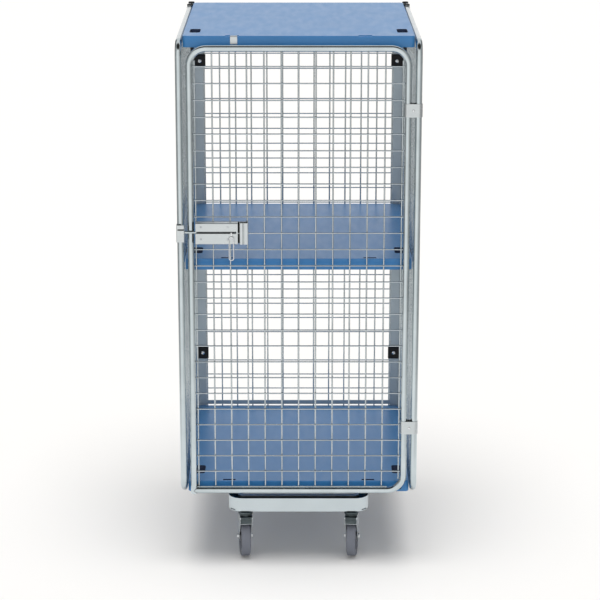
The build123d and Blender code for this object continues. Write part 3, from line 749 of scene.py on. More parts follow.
def plate_mesh(low, high, with_slits):
    """One moulded plate between the corners of its box."""
    bm = bmesh.new()
    width, depth = high.x - low.x, high.y - low.y
    centre_y, under = (low.y + high.y) / 2, high.z - PLATE_SKIN

    def outline(inset):
        corner = PLATE_CORNER - inset
        return moved(rounded_rectangle(width - 2 * inset, depth - 2 * inset, corner), 0, centre_y)

    rows = [(outline(PLATE_SKIRT), under), (outline(PLATE_SKIRT), low.z + RIM_ROUND)]
    rows += [(outline(PLATE_SKIRT - RIM_ROUND), low.z), (outline(RIM_ROUND), low.z)]
    rows += [(outline(0), low.z + RIM_ROUND)]
    rows += [(outline(inset), high.z - drop) for inset, drop in quarter(TOP_ROUND)]
    shell = rim(bm, rows)
    top_holes, under_holes = [], []
    for side in (-1, 1):
        x, y = side * (high.x - SLOT_EDGE), low.y + SLOT_SETBACK
        steps = ((SLOT_LIP, high.z), (LIP_MIDDLE, high.z - LIP_MIDDLE), (0, high.z - SLOT_LIP), (0, low.z),
                 (PLATE_RIB, low.z), (PLATE_RIB, under))
        # the slot's walls take coat 1, the painted shade
        slot = rim(bm, [(moved(slot_outline(grow), x, y), height) for grow, height in steps], 1)
        top_holes.append(slot[0])
        under_holes.append(slot[-1])
        if with_slits:
            top_holes.append(blind_slit(bm, side * SLIT_X, low.y + SLIT_SETBACK, low.z, high.z))
    fill(bm, shell[-1], *top_holes)
    fill(bm, shell[0], *under_holes)
    return bm


print("a slot has", len(slot_outline(0)), "points round its edge")

# %% [markdown]
# No real edge is knife sharp, and it is the thin bright line on an edge that makes metal and plastic look
# real. A Bevel modifier could round each piece later. Done in mesh code, small parts are rounded first
# and joined to one piece then, so that their overlaps can't disturb the bevel.

# %% Soft edges
CORNER_ANGLE = 30


def round_edges(bm, width, segments):
    """Bevel each edge where two faces meet at a clear angle."""
    bmesh.ops.recalc_face_normals(bm, faces=bm.faces)
    sharp = [edge for edge in bm.edges if edge.is_manifold and edge.calc_face_angle() > radians(CORNER_ANGLE)]
    bmesh.ops.bevel(bm, geom=sharp, offset=width, segments=segments, profile=0.5, affect="EDGES",
                    clamp_overlap=True)


def join(bm, part, place=Matrix()):
    """Add a finished part to a piece's mesh at a place."""
    part.transform(place)
    carrier = bpy.data.meshes.new("carrier")
    part.to_mesh(carrier)
    part.free()
    bm.from_mesh(carrier)
    bpy.data.meshes.remove(carrier)


def loop_of(bm, outline, height=0.0):
    """Points and edges of one closed outline at a height."""
    verts = [bm.verts.new((spot[0], spot[1], height)) for spot in outline]
    return verts, [bm.edges.new((verts[i - 1], verts[i])) for i in range(len(verts))]


print("edges over", CORNER_ANGLE, "degrees are rounded")

# %% [markdown]
# Ribs, fork legs, nuts and strips are flat parts: an outline, perhaps with holes, pulled to a thickness.
# A cube or a filled curve could give each of them. One function for outlines and one for blocks serve all
# of them, and round the edges on the way.

# %% Flat parts and blocks
def flat_part(bm, outline, thickness, place, edge, holes=(), segments=2):
    """An outline with holes, pulled to a thickness along Z of a place, with rounded edges."""
    part = bmesh.new()
    verts, edges = loop_of(part, outline)
    if holes:
        for hole in holes:
            edges += loop_of(part, hole)[1]
        bmesh.ops.triangle_fill(part, use_beauty=True, edges=edges)
    else:
        part.faces.new(verts)
    pulled = bmesh.ops.extrude_face_region(part, geom=part.faces[:])
    lifted = [item for item in pulled["geom"] if isinstance(item, bmesh.types.BMVert)]
    bmesh.ops.translate(part, verts=lifted, vec=(0, 0, thickness))
    round_edges(part, edge, segments)
    join(bm, part, place)


def block(bm, low, high, edge):
    """A block between two corners with rounded edges."""
    size, centre = high - low, (low + high) / 2
    x, y = size.x / 2, size.y / 2
    place = Matrix.Translation((centre.x, centre.y, low.z))
    flat_part(bm, [(-x, -y), (x, -y), (x, y), (-x, y)], size.z, place, edge)


sample = bmesh.new()
block(sample, -X_AXIS - Y_AXIS - Z_AXIS, X_AXIS + Y_AXIS + Z_AXIS, 0.1)
print("a block with soft edges has", len(sample.faces), "faces")
sample.free()

# %% [markdown]
# Below, ribs stiffen the plates: deep ones at the thirds and shallower ones between. They could be joined
# to the skin with a Boolean, but nothing of that would be seen. So they are blocks that reach into the
# skin a little.

# %% Ribs
RIB_CELLS, FINE_CELLS, FINE_START, RIB_SINK, RIB_EDGE = 3, 9, 0.55, 0.5 * MM, 0.3 * MM


def add_ribs(bm, low, high):
    """Deep ribs at the thirds of a plate and shallower ones between them."""
    under = high.z - PLATE_SKIN
    inner_low = Vector((low.x + PLATE_SKIRT, low.y + PLATE_SKIRT, low.z))
    inner_high = Vector((high.x - PLATE_SKIRT, high.y - PLATE_SKIRT, under))
    slot_zone = low.y + SLOT_SETBACK + SLOT_LENGTH / 2 + PLATE_RIB
    for axis, other in ((0, 1), (1, 0)):
        span = inner_high[axis] - inner_low[axis]
        for line in range(1, FINE_CELLS):
            deep = line % (FINE_CELLS // RIB_CELLS) == 0
            at = inner_low[axis] + span * line / FINE_CELLS
            start, end = inner_low.copy(), inner_high.copy()
            half = PLATE_RIB / 2 if deep else PLATE_RIB / 3
            start[axis], end[axis] = at - half, at + half
            if not deep:
                start.z = low.z + (under - low.z) * FINE_START
            if axis == 0 and not deep and abs(at) > high.x - 2 * SLOT_EDGE:
                start.y = slot_zone
            if axis == 1 and not deep and at < slot_zone:
                start.x, end.x = start.x + 2 * SLOT_EDGE, end.x - 2 * SLOT_EDGE
            start[other] -= RIB_SINK
            end[other] += RIB_SINK
            end.z += RIB_SINK
            block(bm, start, end, RIB_EDGE)


print(FINE_CELLS - 1, "ribs each way,", RIB_CELLS - 1, "of them deep")

# %% [markdown]
# The deck and the shelf are the same moulding at two heights. They could share one mesh, but each is
# built from the box of its own CAD node, so that one can change without the other. The rounded rims would
# pull the shading of the wide flat faces askew, so the edges round flat faces are marked sharp.

# %% Deck and shelf
# how close a flat face's normal lies to an axis
SQUARE = 0.99999


def keep_flat(piece):
    """Mark the edges round flat, square faces as sharp, to keep their shading flat."""
    bm = bmesh.new()
    bm.from_mesh(piece.data)
    for edge in bm.edges:
        square = {max(abs(part) for part in face.normal) > SQUARE for face in edge.link_faces}
        if len(square) > 1:
            edge.smooth = False
    bm.to_mesh(piece.data)
    bm.free()


for node_name in ("deck", "mid_shelf"):
    low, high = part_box(node_name)
    bm = plate_mesh(low, high, True)
    add_ribs(bm, low, high)
    keep_flat(add_piece(f"{node_name}_moulding", bm, "carcass", plate_finish, [node_name]))

# %% [markdown]
# The roof has no slits but two shallow recesses in its front edge, one of which takes the metal stop.
# Rows of points would be awkward here, because the cut runs out through the rounded rim. So the recesses
# are cut with a Boolean, and the result is kept as plain mesh.

# %% Roof
RECESS_X, RECESS_WIDTH, RECESS_LENGTH, RECESS_DEPTH = 195 * MM, 40 * MM, 14 * MM, 2.5 * MM
CUT_CLEAR, RECESS_EDGE = 5 * MM, 0.5 * MM


def cut_away(piece, cutter):
    """Take one closed mesh out of a piece for good."""
    tool = bpy.data.meshes.new("cutter")
    cutter.to_mesh(tool)
    cutter.free()
    tool_object = bpy.data.objects.new("cutter", tool)
    bpy.context.scene.collection.objects.link(tool_object)
    boolean = piece.modifiers.new("cut", "BOOLEAN")
    boolean.object = tool_object
    boolean.solver = "EXACT"
    graph = bpy.context.evaluated_depsgraph_get()
    result = bpy.data.meshes.new_from_object(piece.evaluated_get(graph))
    piece.modifiers.remove(boolean)
    old = piece.data
    piece.data = result
    bpy.data.meshes.remove(old)
    bpy.data.objects.remove(tool_object)
    bpy.data.meshes.remove(tool)
    result.shade_smooth()
    result.set_sharp_from_angle(angle=radians(SMOOTH))


low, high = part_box("roof_plate")
bm = plate_mesh(low, high, False)
roof = add_piece("roof_moulding", bm, "carcass", plate_finish, ["roof_plate"])
cutter = bmesh.new()
for side in (-1, 1):
    x = side * RECESS_X
    block(cutter, Vector((x - RECESS_WIDTH / 2, low.y - CUT_CLEAR, high.z - RECESS_DEPTH)),
          Vector((x + RECESS_WIDTH / 2, low.y + RECESS_LENGTH, high.z + CUT_CLEAR)), RECESS_EDGE)
cut_away(roof, cutter)
keep_flat(roof)
bm = bmesh.new()
add_ribs(bm, low, high)
add_piece("roof_ribs", bm, "carcass", blue_plastic)

# %% [markdown]
# Folded sheet metal has one thickness and small bend radii. Both of its faces could be modelled. Drawn as
# its middle surface and thickened by Solidify, one bend line serves both faces, as it does in a press
# brake.

# %% Folded sheet
SHEET, SHEET_EDGE, SHEET_ANGLE = 1.5 * MM, 0.3 * MM, 50


def soften(piece, width, limit=35):
    """A bevel on a piece's sharp edges."""
    bevel = piece.modifiers.new("soft edges", "BEVEL")
    bevel.width = width
    bevel.segments = 2
    bevel.limit_method = "ANGLE"
    bevel.angle_limit = radians(limit)
    bevel.harden_normals = True
    return bevel


def fold(bm, line, along, stops, cut=None, closed=False):
    """The middle surface of a folded sheet: a bend line repeated at stops along a direction."""
    rows = [[bm.verts.new(point + along * stop) for point in line] for stop in stops]
    spans = len(line) if closed else len(line) - 1
    for row in range(len(stops) - 1):
        for span in range(spans):
            after = (span + 1) % len(line)
            between = (line[span] + line[after]) / 2 + along * (stops[row] + stops[row + 1]) / 2
            if cut and cut(between):
                continue
            bm.faces.new((rows[row][span], rows[row][after], rows[row + 1][after], rows[row + 1][span]))
    loose = [vert for vert in bm.verts if not vert.link_faces]
    bmesh.ops.delete(bm, geom=loose, context="VERTS")


def sheet_piece(name, bm, body, finish, nodes=(), thickness=SHEET):
    """A folded sheet with its thickness and softened edges."""
    piece = add_piece(name, bm, body, finish, nodes)
    wall = piece.modifiers.new("sheet", "SOLIDIFY")
    wall.thickness = thickness
    wall.offset = 0
    wall.use_even_offset = True
    soften(piece, SHEET_EDGE, SHEET_ANGLE)
    return piece


print("sheet thickness", SHEET / MM, "mm")

# %% [markdown]
# The stop is a strip of sheet folded over the roof's front edge, where it keeps the closed door from
# swinging in. Two thin blocks would do from the front; a bend line with a thickness shows a true fold
# from the side too.

# %% Roof stop
STOP_SHEET, STOP_BEND = 2 * MM, 2 * MM
low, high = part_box("roof_stop")
inside = STOP_SHEET / 2
line = soft_line([((0, high.y, high.z - inside), 0), ((0, low.y + inside, high.z - inside), STOP_BEND),
                  ((0, low.y + inside, low.z), 0)])
bm = bmesh.new()
fold(bm, line, X_AXIS, [low.x, high.x])
sheet_piece("roof_stop_strip", bm, "carcass", sheet_zinc, ["roof_stop"], STOP_SHEET)

# %% [markdown]
# The base is a channel rolled into a ring, open on top, with a lip along its inner edge. Four straight
# channels would be simpler, but the real corners are round. So the section is drawn once, with the bend radii
# of folded steel, and swept round a rounded rectangle. The inside of the channel and the top of the lip have
# coats of their own: painted shade inside, a dark coat for the shade in the channel, and painted light on the
# lip's top, a pale matte coat.

# %% Chassis ring
CHANNEL_WIDTH, CHANNEL_WALL, RING_CORNER = 31 * MM, 2.5 * MM, 45 * MM
CHANNEL_LIP, CHANNEL_EDGE, CHANNEL_BEND, INNER_BEND = 12 * MM, 0.8 * MM, 4 * MM, 1.5 * MM
LIP_BEND, LIP_CROWN, SECTION_STEPS, CORNER_STEPS = 2 * MM, 2.5 * MM, 4, 12
# how near a point lies to the channel's inside, its floor and the lip's top to take their coats of painted
# shade and painted light
INSIDE_SLACK, FLOOR_SHARE, CROWN_SLACK = 0.2 * MM, 0.9, 0.5 * MM
low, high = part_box("chassis_ring")
ring_size, ring_middle = high - low, (low + high) / 2
half, tall = CHANNEL_WIDTH / 2, ring_size.z
inner = half - CHANNEL_WALL
tip, under_lip = -half - CHANNEL_LIP, tall - CHANNEL_WALL
section = soft_line([
    ((tip, tall), CHANNEL_EDGE), ((tip, under_lip), CHANNEL_EDGE), ((-half, under_lip), LIP_BEND),
    ((-half, 0), CHANNEL_BEND), ((half, 0), CHANNEL_BEND), ((half, tall), CHANNEL_EDGE),
    ((inner, tall), CHANNEL_EDGE), ((inner, CHANNEL_WALL), INNER_BEND), ((-inner, CHANNEL_WALL), INNER_BEND),
    ((-inner, tall), LIP_CROWN),
], closed=True, steps=SECTION_STEPS)
track = rounded_rectangle(ring_size.x - CHANNEL_WIDTH, ring_size.y - CHANNEL_WIDTH, RING_CORNER - half,
                          CORNER_STEPS)
path = [Vector((spot.x + ring_middle.x, spot.y + ring_middle.y, low.z)) for spot in track]
bm = bmesh.new()
ways = directions(path, closed=True)
rings = []
for point, way in zip(path, ways):
    outward = way.cross(Z_AXIS)
    rings.append([bm.verts.new(point + outward * spot.x + Z_AXIS * spot.y) for spot in section])
for index, face in enumerate(skin(bm, rings, closed=True)):
    ends = [section[(index + step) % len(section)] for step in (0, 1)]
    # coat 1 on the channel's inside is painted shade, coat 2 on the lip's top painted light
    if all(abs(spot.x) < inner + INSIDE_SLACK and spot.y > FLOOR_SHARE * CHANNEL_WALL for spot in ends):
        face.material_index = 1
    elif all(spot.x < -inner and spot.y > tall - CROWN_SLACK for spot in ends):
        face.material_index = 2
coats = (channel_zinc, channel_painted_shade, lip_painted_light)
ring = add_piece("chassis_channel", bm, "carcass", coats, ["chassis_ring"])

# %% [markdown]
# Each corner of the ring has a small notch in its lower edge. The section could change there on its way
# round, but it is easier to cut the notches out of the finished ring, with blocks that are turned to the
# corners' diagonals.

# %% Ring notches
NOTCH_WIDTH, NOTCH_HEIGHT, NOTCH_DEPTH, NOTCH_EDGE = 20 * MM, 8 * MM, 4.5 * MM, 1 * MM
cutter = bmesh.new()
for x_side in (-1, 1):
    for y_side in (-1, 1):
        diagonal = RING_CORNER * cos(pi / 4)
        x = ring_middle.x + x_side * (ring_size.x / 2 - RING_CORNER + diagonal)
        y = ring_middle.y + y_side * (ring_size.y / 2 - RING_CORNER + diagonal)
        turn = Matrix.Translation((x, y, low.z)) @ Matrix.Rotation(x_side * y_side * pi / 4, 4, "Z")
        size = Vector((NOTCH_DEPTH, NOTCH_WIDTH / 2, NOTCH_HEIGHT))
        part = bmesh.new()
        block(part, -size, size, NOTCH_EDGE)
        join(cutter, part, turn)
cut_away(ring, cutter)
keep_flat(ring)
print("the ring has", len(ring.data.vertices), "points after the cuts")

# %% [markdown]
# Two rectangular tubes lie across the ring and carry the deck and the side frames, and black plastic
# plugs close their ends. A bevelled cube has one rounding everywhere. Here one rounded outline is pulled
# along X, and the cut ends of the tube stay crisp while the heads of the plugs are soft.

# %% Cross rails and plugs
def facing(origin, across, up):
    """A place whose X runs across, Y up and Z out of the plane of the two."""
    across, up = Vector(across), Vector(up)
    out = across.cross(up)
    return Matrix.Translation(origin) @ Matrix((across, up, out)).transposed().to_4x4()


RAIL_ROUND, RAIL_STEPS, RAIL_EDGE, PLUG_EDGE = 3 * MM, 5, 0.2 * MM, 1.2 * MM
for node_name in ("front_cross_rail", "rear_cross_rail"):
    low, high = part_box(node_name)
    size, centre = high - low, middle(node_name)
    bm = bmesh.new()
    outline = rounded_rectangle(size.y, size.z, RAIL_ROUND, RAIL_STEPS)
    flat_part(bm, outline, size.x, facing((low.x, centre.y, centre.z), Y_AXIS, Z_AXIS), RAIL_EDGE)
    add_piece(f"{node_name}_tube", bm, "carcass", tube_zinc, [node_name])

low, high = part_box("cross_rail_caps")
bm = bmesh.new()
for node_name in ("front_cross_rail", "rear_cross_rail"):
    rail_low, rail_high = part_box(node_name)
    size, centre = rail_high - rail_low, middle(node_name)
    for start, end in ((low.x, rail_low.x), (rail_high.x, high.x)):
        outline = rounded_rectangle(size.y, size.z, RAIL_ROUND, RAIL_STEPS)
        place = facing((start, centre.y, centre.z), Y_AXIS, Z_AXIS)
        flat_part(bm, outline, end - start, place, PLUG_EDGE)
add_piece("cross_rail_plugs", bm, "carcass", black_plastic, ["cross_rail_caps"])

# %% [markdown]
# A wheel is two turned parts: a grey tread with rounded shoulders, and a hub with a rim, a dished web and
# a boss. A plain cylinder would do from the front, but the hub is open to view from the side. Webs
# between boss and rim stiffen it, as in most moulded wheels.

# %% Wheel shapes
wheel_low, wheel_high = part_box("rear_wheel_left")
WHEEL_R, TREAD_HALF = wheel_high.z / 2, (wheel_high.x - wheel_low.x) / 2
RIM_R, BOSS_R, AXLE_R = 48 * MM, 15 * MM, 5 * MM
TREAD_STEPS, HUB_STEPS = 72, 60
HUB_WEBS, WEB_HALF, WEB_SINK = 6, 1.6 * MM, 1 * MM
WEB_DROP, WEB_STOP, WEB_EDGE = 2.5 * MM, 3 * MM, 0.6 * MM


def tread(bm, place):
    """The tyre: a slightly crowned tread, rounded shoulders and sides that lean in to the rim."""
    shoulder = [((RIM_R - 2 * MM, TREAD_HALF - 3 * MM), 0), ((RIM_R + 1 * MM, TREAD_HALF - 1.2 * MM), 1 * MM),
                ((WHEEL_R - 6 * MM, TREAD_HALF), 6 * MM), ((WHEEL_R - 0.5 * MM, TREAD_HALF - 2 * MM), 5 * MM),
                ((WHEEL_R, 0), 0)]
    half = [(spot.x, spot.y) for spot in soft_line(shoulder, steps=6)]
    other = [(radius, -height) for radius, height in reversed(half[:-1])]
    lathe(bm, half + other, place, TREAD_STEPS, closed=True)


def hub(bm, place):
    """The wheel's centre: rim, dished web, boss with a bore, and six stiffening webs on each side."""
    rim_edge, web, boss = TREAD_HALF - 2 * MM, 4 * MM, TREAD_HALF
    face = [((AXLE_R + 0.1 * MM, boss), 0), ((BOSS_R, boss), 1.5 * MM), ((BOSS_R + 2 * MM, web), 3 * MM),
            ((RIM_R - 5 * MM, web), 3 * MM), ((RIM_R - 3 * MM, rim_edge), 1 * MM), ((RIM_R, rim_edge), 0)]
    half = [(spot.x, spot.y) for spot in soft_line(face, steps=4)]
    other = [(radius, -height) for radius, height in reversed(half)]
    lathe(bm, half + other, place, HUB_STEPS, closed=True)
    for spoke in range(HUB_WEBS):
        turn = Matrix.Rotation(spoke * 2 * pi / HUB_WEBS, 4, "Z")
        for side in (-1, 1):
            start, end = sorted((side * (web - WEB_SINK), side * (rim_edge - WEB_DROP)))
            low = Vector((BOSS_R - WEB_SINK, -WEB_HALF, start))
            high = Vector((RIM_R - WEB_STOP, WEB_HALF, end))
            part = bmesh.new()
            block(part, low, high, WEB_EDGE)
            join(bm, part, place @ turn)


print("wheel radius", round(WHEEL_R, 4), "and half width", round(TREAD_HALF, 4))

# %% [markdown]
# Four wheels spin on their own bodies. One mesh could be shared by all of them, but each is built in the
# frame of its own joint, so that it spins round its true axle, also where a caster stands at an angle.

# %% Wheels
def along(way):
    """A turn that lays the Z axis along a level direction."""
    way = Vector(way).normalized()
    return Matrix((Z_AXIS.cross(way), Z_AXIS, way)).transposed().to_4x4() @ Matrix.Rotation(pi, 4, "Z")


joints = {joint["name"]: joint for joint in frame["joints"]}
for end in ("front", "rear"):
    for name in ("left", "right"):
        spin = joints[f"{end}_{name}_spin"]
        place = Matrix.Translation(spin["pos_m"]) @ along(spin["axis"])
        body = f"{end}_{name}_wheel"
        bm = bmesh.new()
        tread(bm, place)
        add_piece(f"{end}_{name}_tread", bm, body, tread_grey, [f"{end}_wheel_{name}"])
        bm = bmesh.new()
        hub(bm, place)
        add_piece(f"{end}_{name}_hub", bm, body, hub_grey)

# %% [markdown]
# The casters' forks are pressed steel: two legs that taper to the axle and, in front, a guard with
# pressed ribs. A leg could be drawn point by point. As the hull of its top edge and of the round eye at
# the axle it follows the wheel's size, as a press tool would cut it.

# %% Fork legs and guards
FORK_GAP, FORK_SHEET, FORK_DEPTH, FORK_EYE = 2 * MM, 2.5 * MM, 54 * MM, 14 * MM
FORK_INNER = TREAD_HALF + FORK_GAP
FORK_OUTER = FORK_INNER + FORK_SHEET
LEG_SHOULDER, FORK_EDGE, LEG_EYE_STEPS = 5 * MM, 0.6 * MM, 36
GUARD_RIBS, GROOVE_CUT, GUARD_EDGE = 4, 1.3 * MM, 0.2 * MM
# rise as a share of a rib's pitch, 1 in the groove or 0 on the rib, and rounding
GUARD_CORNERS = ((0.05, 0, 0.5 * MM), (0.55, 0, 0.5 * MM), (0.7, 1, 0.3 * MM), (0.9, 1, 0.3 * MM))


def fork_leg(bm, place, trail, top_z, side):
    """One tapered leg at the side of the wheel; a place has X along the axle and Z up."""
    half = FORK_DEPTH / 2
    spots = [Vector((y, z)) for z in (top_z, top_z - LEG_SHOULDER) for y in (-half, half)]
    spots += [Vector((spot.x + trail, spot.y + WHEEL_R)) for spot in circle(FORK_EYE, LEG_EYE_STEPS)]
    outline = [spots[index] for index in convex_hull_2d(spots)]
    start = FORK_INNER if side > 0 else -FORK_OUTER
    flat_part(bm, outline, FORK_SHEET, place @ facing((start, 0, 0), Y_AXIS, Z_AXIS), FORK_EDGE)


def guard(bm, place, top_z, foot_z):
    """A ribbed guard between the legs at a fork's front."""
    front, back, pitch = -FORK_DEPTH / 2, -FORK_DEPTH / 2 + FORK_SHEET, (top_z - foot_z) / GUARD_RIBS
    corners = [((back, top_z), 0), ((back, foot_z), 0)]
    for rib in range(GUARD_RIBS):
        rise = foot_z + rib * pitch
        corners += [((front + deep * GROOVE_CUT, rise + share * pitch), soft)
                    for share, deep, soft in GUARD_CORNERS]
    start = place @ facing((-FORK_INNER, 0, 0), Y_AXIS, Z_AXIS)
    flat_part(bm, soft_line(corners, closed=True, steps=3), 2 * FORK_INNER, start, GUARD_EDGE)


print("fork legs stand", FORK_GAP / MM, "mm clear of the tread")

# %% [markdown]
# A bolt through the wheel has a hexagon head on one side and a nut on the other, each on a washer. A
# cylinder with six sides could stand for a head. As a flat part it gets rounded edges too, and those
# catch the light.

# %% Axle bolts
AXLE_FLATS, AXLE_HEAD, AXLE_STEPS, NUT_EDGE = 15 * MM, 4.5 * MM, 24, 0.5 * MM
# a washer's radii as shares of the size across the flats, and its wall as a share of its height
WASHER_FOOT, WASHER_TOP, WASHER_WALL, WASHER_STEPS = 0.66, 0.6, 0.7, 28


def hex_head(bm, place, flats, height, washer=1.0 * MM):
    """A hexagon head or nut on a washer, from its size across the flats."""
    wide, narrow = flats * WASHER_FOOT, flats * WASHER_TOP
    profile = [(0, 0), (wide, 0), (wide, washer * WASHER_WALL), (narrow, washer), (0, washer)]
    lathe(bm, profile, place, WASHER_STEPS)
    above = place @ Matrix.Translation((0, 0, washer))
    flat_part(bm, circle(flats / sqrt(3), 6), height - washer, above, NUT_EDGE)


def axle(bm, place, trail):
    """The wheel bolt, from head to nut."""
    centre = place @ Matrix.Translation((0, trail, WHEEL_R))
    lathe(bm, [(0, -FORK_OUTER), (AXLE_R, -FORK_OUTER), (AXLE_R, FORK_OUTER), (0, FORK_OUTER)],
          centre @ along((1, 0, 0)), AXLE_STEPS)
    for side in (-1, 1):
        out = centre @ Matrix.Translation((side * FORK_OUTER, 0, 0)) @ along((side, 0, 0))
        hex_head(bm, out, AXLE_FLATS, AXLE_HEAD)


print("axles are", round(2 * FORK_OUTER / MM, 1), "mm long between the heads")

# %% [markdown]
# A swivel caster's fork hangs from a crown plate, with the ribbed guard and a rolled lip in front, and
# the king bolt's nut below the crown. It could be built square and turned afterwards. It is built in the
# frame of the swivel's joint instead, because that is where it turns in every pose.

# %% Swivel forks
CROWN, CROWN_CORNER, CROWN_EDGE, RACE_GAP = 4 * MM, 3 * MM, 1.6 * MM, 0.4 * MM
APRON, LIP_R, KING_FLATS, KING_NUT = 18 * MM, 1.3 * MM, 19 * MM, 6 * MM
LEG_DROP = 0.5 * MM
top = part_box("swivel_heads")[0].z - RACE_GAP
foot = top - CROWN - APRON
for name in ("left", "right"):
    spin = joints[f"front_{name}_spin"]
    axis, wheel_spot = Vector(joints[f"{name}_swivel_turn"]["pos_m"]), Vector(spin["pos_m"])
    axle_way = Vector(spin["axis"])
    trail = (wheel_spot.xy - axis.xy).length
    turned = Matrix((axle_way, Z_AXIS.cross(axle_way), Z_AXIS)).transposed().to_4x4()
    place = Matrix.Translation((axis.x, axis.y, 0)) @ turned
    under_crown = place @ Matrix.Translation((0, 0, top - CROWN))
    bm = bmesh.new()
    for side in (-1, 1):
        fork_leg(bm, place, trail, top - LEG_DROP, side)
    shield = bmesh.new()
    crown = rounded_rectangle(2 * FORK_OUTER, FORK_DEPTH, CROWN_CORNER, steps=4)
    flat_part(shield, crown, CROWN, under_crown, CROWN_EDGE, segments=3)
    lip = [place @ Vector((side * FORK_OUTER, LIP_R - FORK_DEPTH / 2, foot)) for side in (-1, 1)]
    bar(bm, *lip, LIP_R, Z_AXIS)
    guard(shield, place, top - CROWN, foot)
    add_piece(f"{name}_fork_guard", shield, f"{name}_swivel", race_steel)
    bolt = bmesh.new()
    axle(bolt, place, trail)
    add_piece(f"{name}_swivel_axle", bolt, f"{name}_swivel", bright_zinc_and_glint)
    hex_head(bm, under_crown @ Matrix.Rotation(pi, 4, "X"), KING_FLATS, KING_NUT)
    fork_node = f"front_fork_{name}"
    add_piece(f"{name}_swivel_fork", bm, f"{name}_swivel", caster_zinc, [fork_node])

# %% [markdown]
# Above each fork a ball race lets it turn: rings stacked round a king bolt, whose head stands inside the
# channel. One plain disc could stand for it. A stepped profile, spun once, shows the gaps between the
# rings as dark lines.

# %% Swivel races and king bolts
HEAD_HEIGHT, RACE_STEPS, KING_HEAD, KING_WASHER = 13 * MM, 48, 8 * MM, 1.5 * MM
# radius, height and rounding of each tier of the races, in millimetres
RACE_TIERS = ((20, 0, 0.6), (20, 2.6, 0.8), (17, 3.0, 0.5), (17, 4.0, 0.5), (22, 4.4, 0.8), (22, 7.2, 0.8),
              (18.5, 7.6, 0.5), (18.5, 8.6, 0.5), (24, 9.0, 0.8), (24, 13, 0.6))
rounds = [((radius * MM, rise * MM), soft * MM) for radius, rise, soft in RACE_TIERS]
races = soft_line([((0, 0), 0)] + rounds + [((0, HEAD_HEIGHT), 0)], steps=4)
profile = [(max(spot.x, 0), spot.y) for spot in races]
heads, kings = bmesh.new(), bmesh.new()
race_floor, ring_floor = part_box("swivel_heads")[0].z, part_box("chassis_ring")[0].z + CHANNEL_WALL
for name in ("left", "right"):
    axis = Vector(joints[f"{name}_swivel_turn"]["pos_m"])
    lathe(heads, profile, Matrix.Translation((axis.x, axis.y, race_floor)), RACE_STEPS)
    hex_head(kings, Matrix.Translation((axis.x, axis.y, ring_floor)), KING_FLATS, KING_HEAD, KING_WASHER)
add_piece("swivel_races", heads, "carcass", race_steel, ["swivel_heads"])
add_piece("king_bolt_heads", kings, "carcass", caster_zinc)

# %% [markdown]
# The rear casters don't swivel: the fork hangs from a top plate with four bolts. Legs, axle and bolt
# heads are made by the same functions as in front, with no trail, so nothing is modelled twice.

# %% Fixed casters
TOP_PLATE, PLATE_LONG, PLATE_DEEP, FOOT_CORNER = 3 * MM, 100 * MM, 80 * MM, 6 * MM
BOLT_X, BOLT_Y, BOLT_FLATS, BOLT_NUT = 38 * MM, 28 * MM, 13 * MM, 6 * MM
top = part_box("rear_forks")[1].z
bm, bolts = bmesh.new(), bmesh.new()
for name in ("left", "right"):
    spot = Vector(joints[f"rear_{name}_spin"]["pos_m"])
    place = Matrix.Translation((spot.x, spot.y, 0))
    for side in (-1, 1):
        fork_leg(bm, place, 0, top - TOP_PLATE / 2, side)
    plate = rounded_rectangle(PLATE_LONG, PLATE_DEEP, FOOT_CORNER, steps=5)
    flat_part(bm, plate, TOP_PLATE, place @ Matrix.Translation((0, 0, top - TOP_PLATE)), FORK_EDGE)
    axle(bolts, place, 0)
    for x_side in (-1, 1):
        for y_side in (-1, 1):
            nut = Matrix.Translation((x_side * BOLT_X, y_side * BOLT_Y, top - TOP_PLATE))
            hex_head(bolts, place @ nut @ Matrix.Rotation(pi, 4, "X"), BOLT_FLATS, BOLT_NUT)
add_piece("fixed_caster_forks", bm, "carcass", caster_zinc, ["rear_forks"])
add_piece("fixed_caster_bolts", bolts, "carcass", bright_zinc_and_glint)

# %% [markdown]
# The door is one bent tube with three round corners. At the bottom left the tube ends on the upright,
# which runs on a little below as an open foot, and a bead joins the two. As with the side frames, one
# sweep shows no seams.

# %% Door frame
DOOR_BEND = 50 * MM
corners = [
    ((-DOOR_X, DOOR_Y, door_low.z), 0), ((-DOOR_X, DOOR_Y, DOOR_TOP_Z), DOOR_BEND),
    ((DOOR_X, DOOR_Y, DOOR_TOP_Z), DOOR_BEND), ((DOOR_X, DOOR_Y, DOOR_BOTTOM_Z), DOOR_BEND),
    ((-DOOR_X, DOOR_Y, DOOR_BOTTOM_Z), 0),
]
bm = bmesh.new()
tube(bm, soft_line(corners, steps=BEND_STEPS), TUBE_R, Y_AXIS, open_start=True)
add_piece("door_bent_tube", bm, "door", tube_zinc, ["door_frame"])
bm = bmesh.new()
saddle_bead(bm, Vector((-DOOR_X, DOOR_Y, DOOR_BOTTOM_Z)), X_AXIS, Y_AXIS)
add_piece("door_corner_weld", bm, "door", weld_zinc)

# %% [markdown]
# A hinge strap is a band of sheet round the post and the door's upright. Both tubes turn inside it, which
# lets the door fold right back. A bent plate on each side could stand for it; one closed line of two half
# turns keeps the same gap to both tubes. A rivet between the tubes draws the band together.

# %% Hinge straps
SLEEVE_GAP = 0.3 * MM
RIVET_R, RIVET_RISE, DOME_TIERS, DOME_STEPS = 4 * MM, 1.6 * MM, 5, 24
strap_low, strap_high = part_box("hinge_straps")
STRAP_HEIGHT, HALF_TURN_STEPS = 40 * MM, 14


def dome(bm, place, radius, rise):
    """A rivet head: a low dome that stands on the Z axis of a place."""
    turns = [pi / 2 * step / DOME_TIERS for step in range(DOME_TIERS)]
    profile = [(radius * cos(turn), rise * sin(turn)) for turn in turns] + [(0, rise)]
    lathe(bm, profile, place, DOME_STEPS)


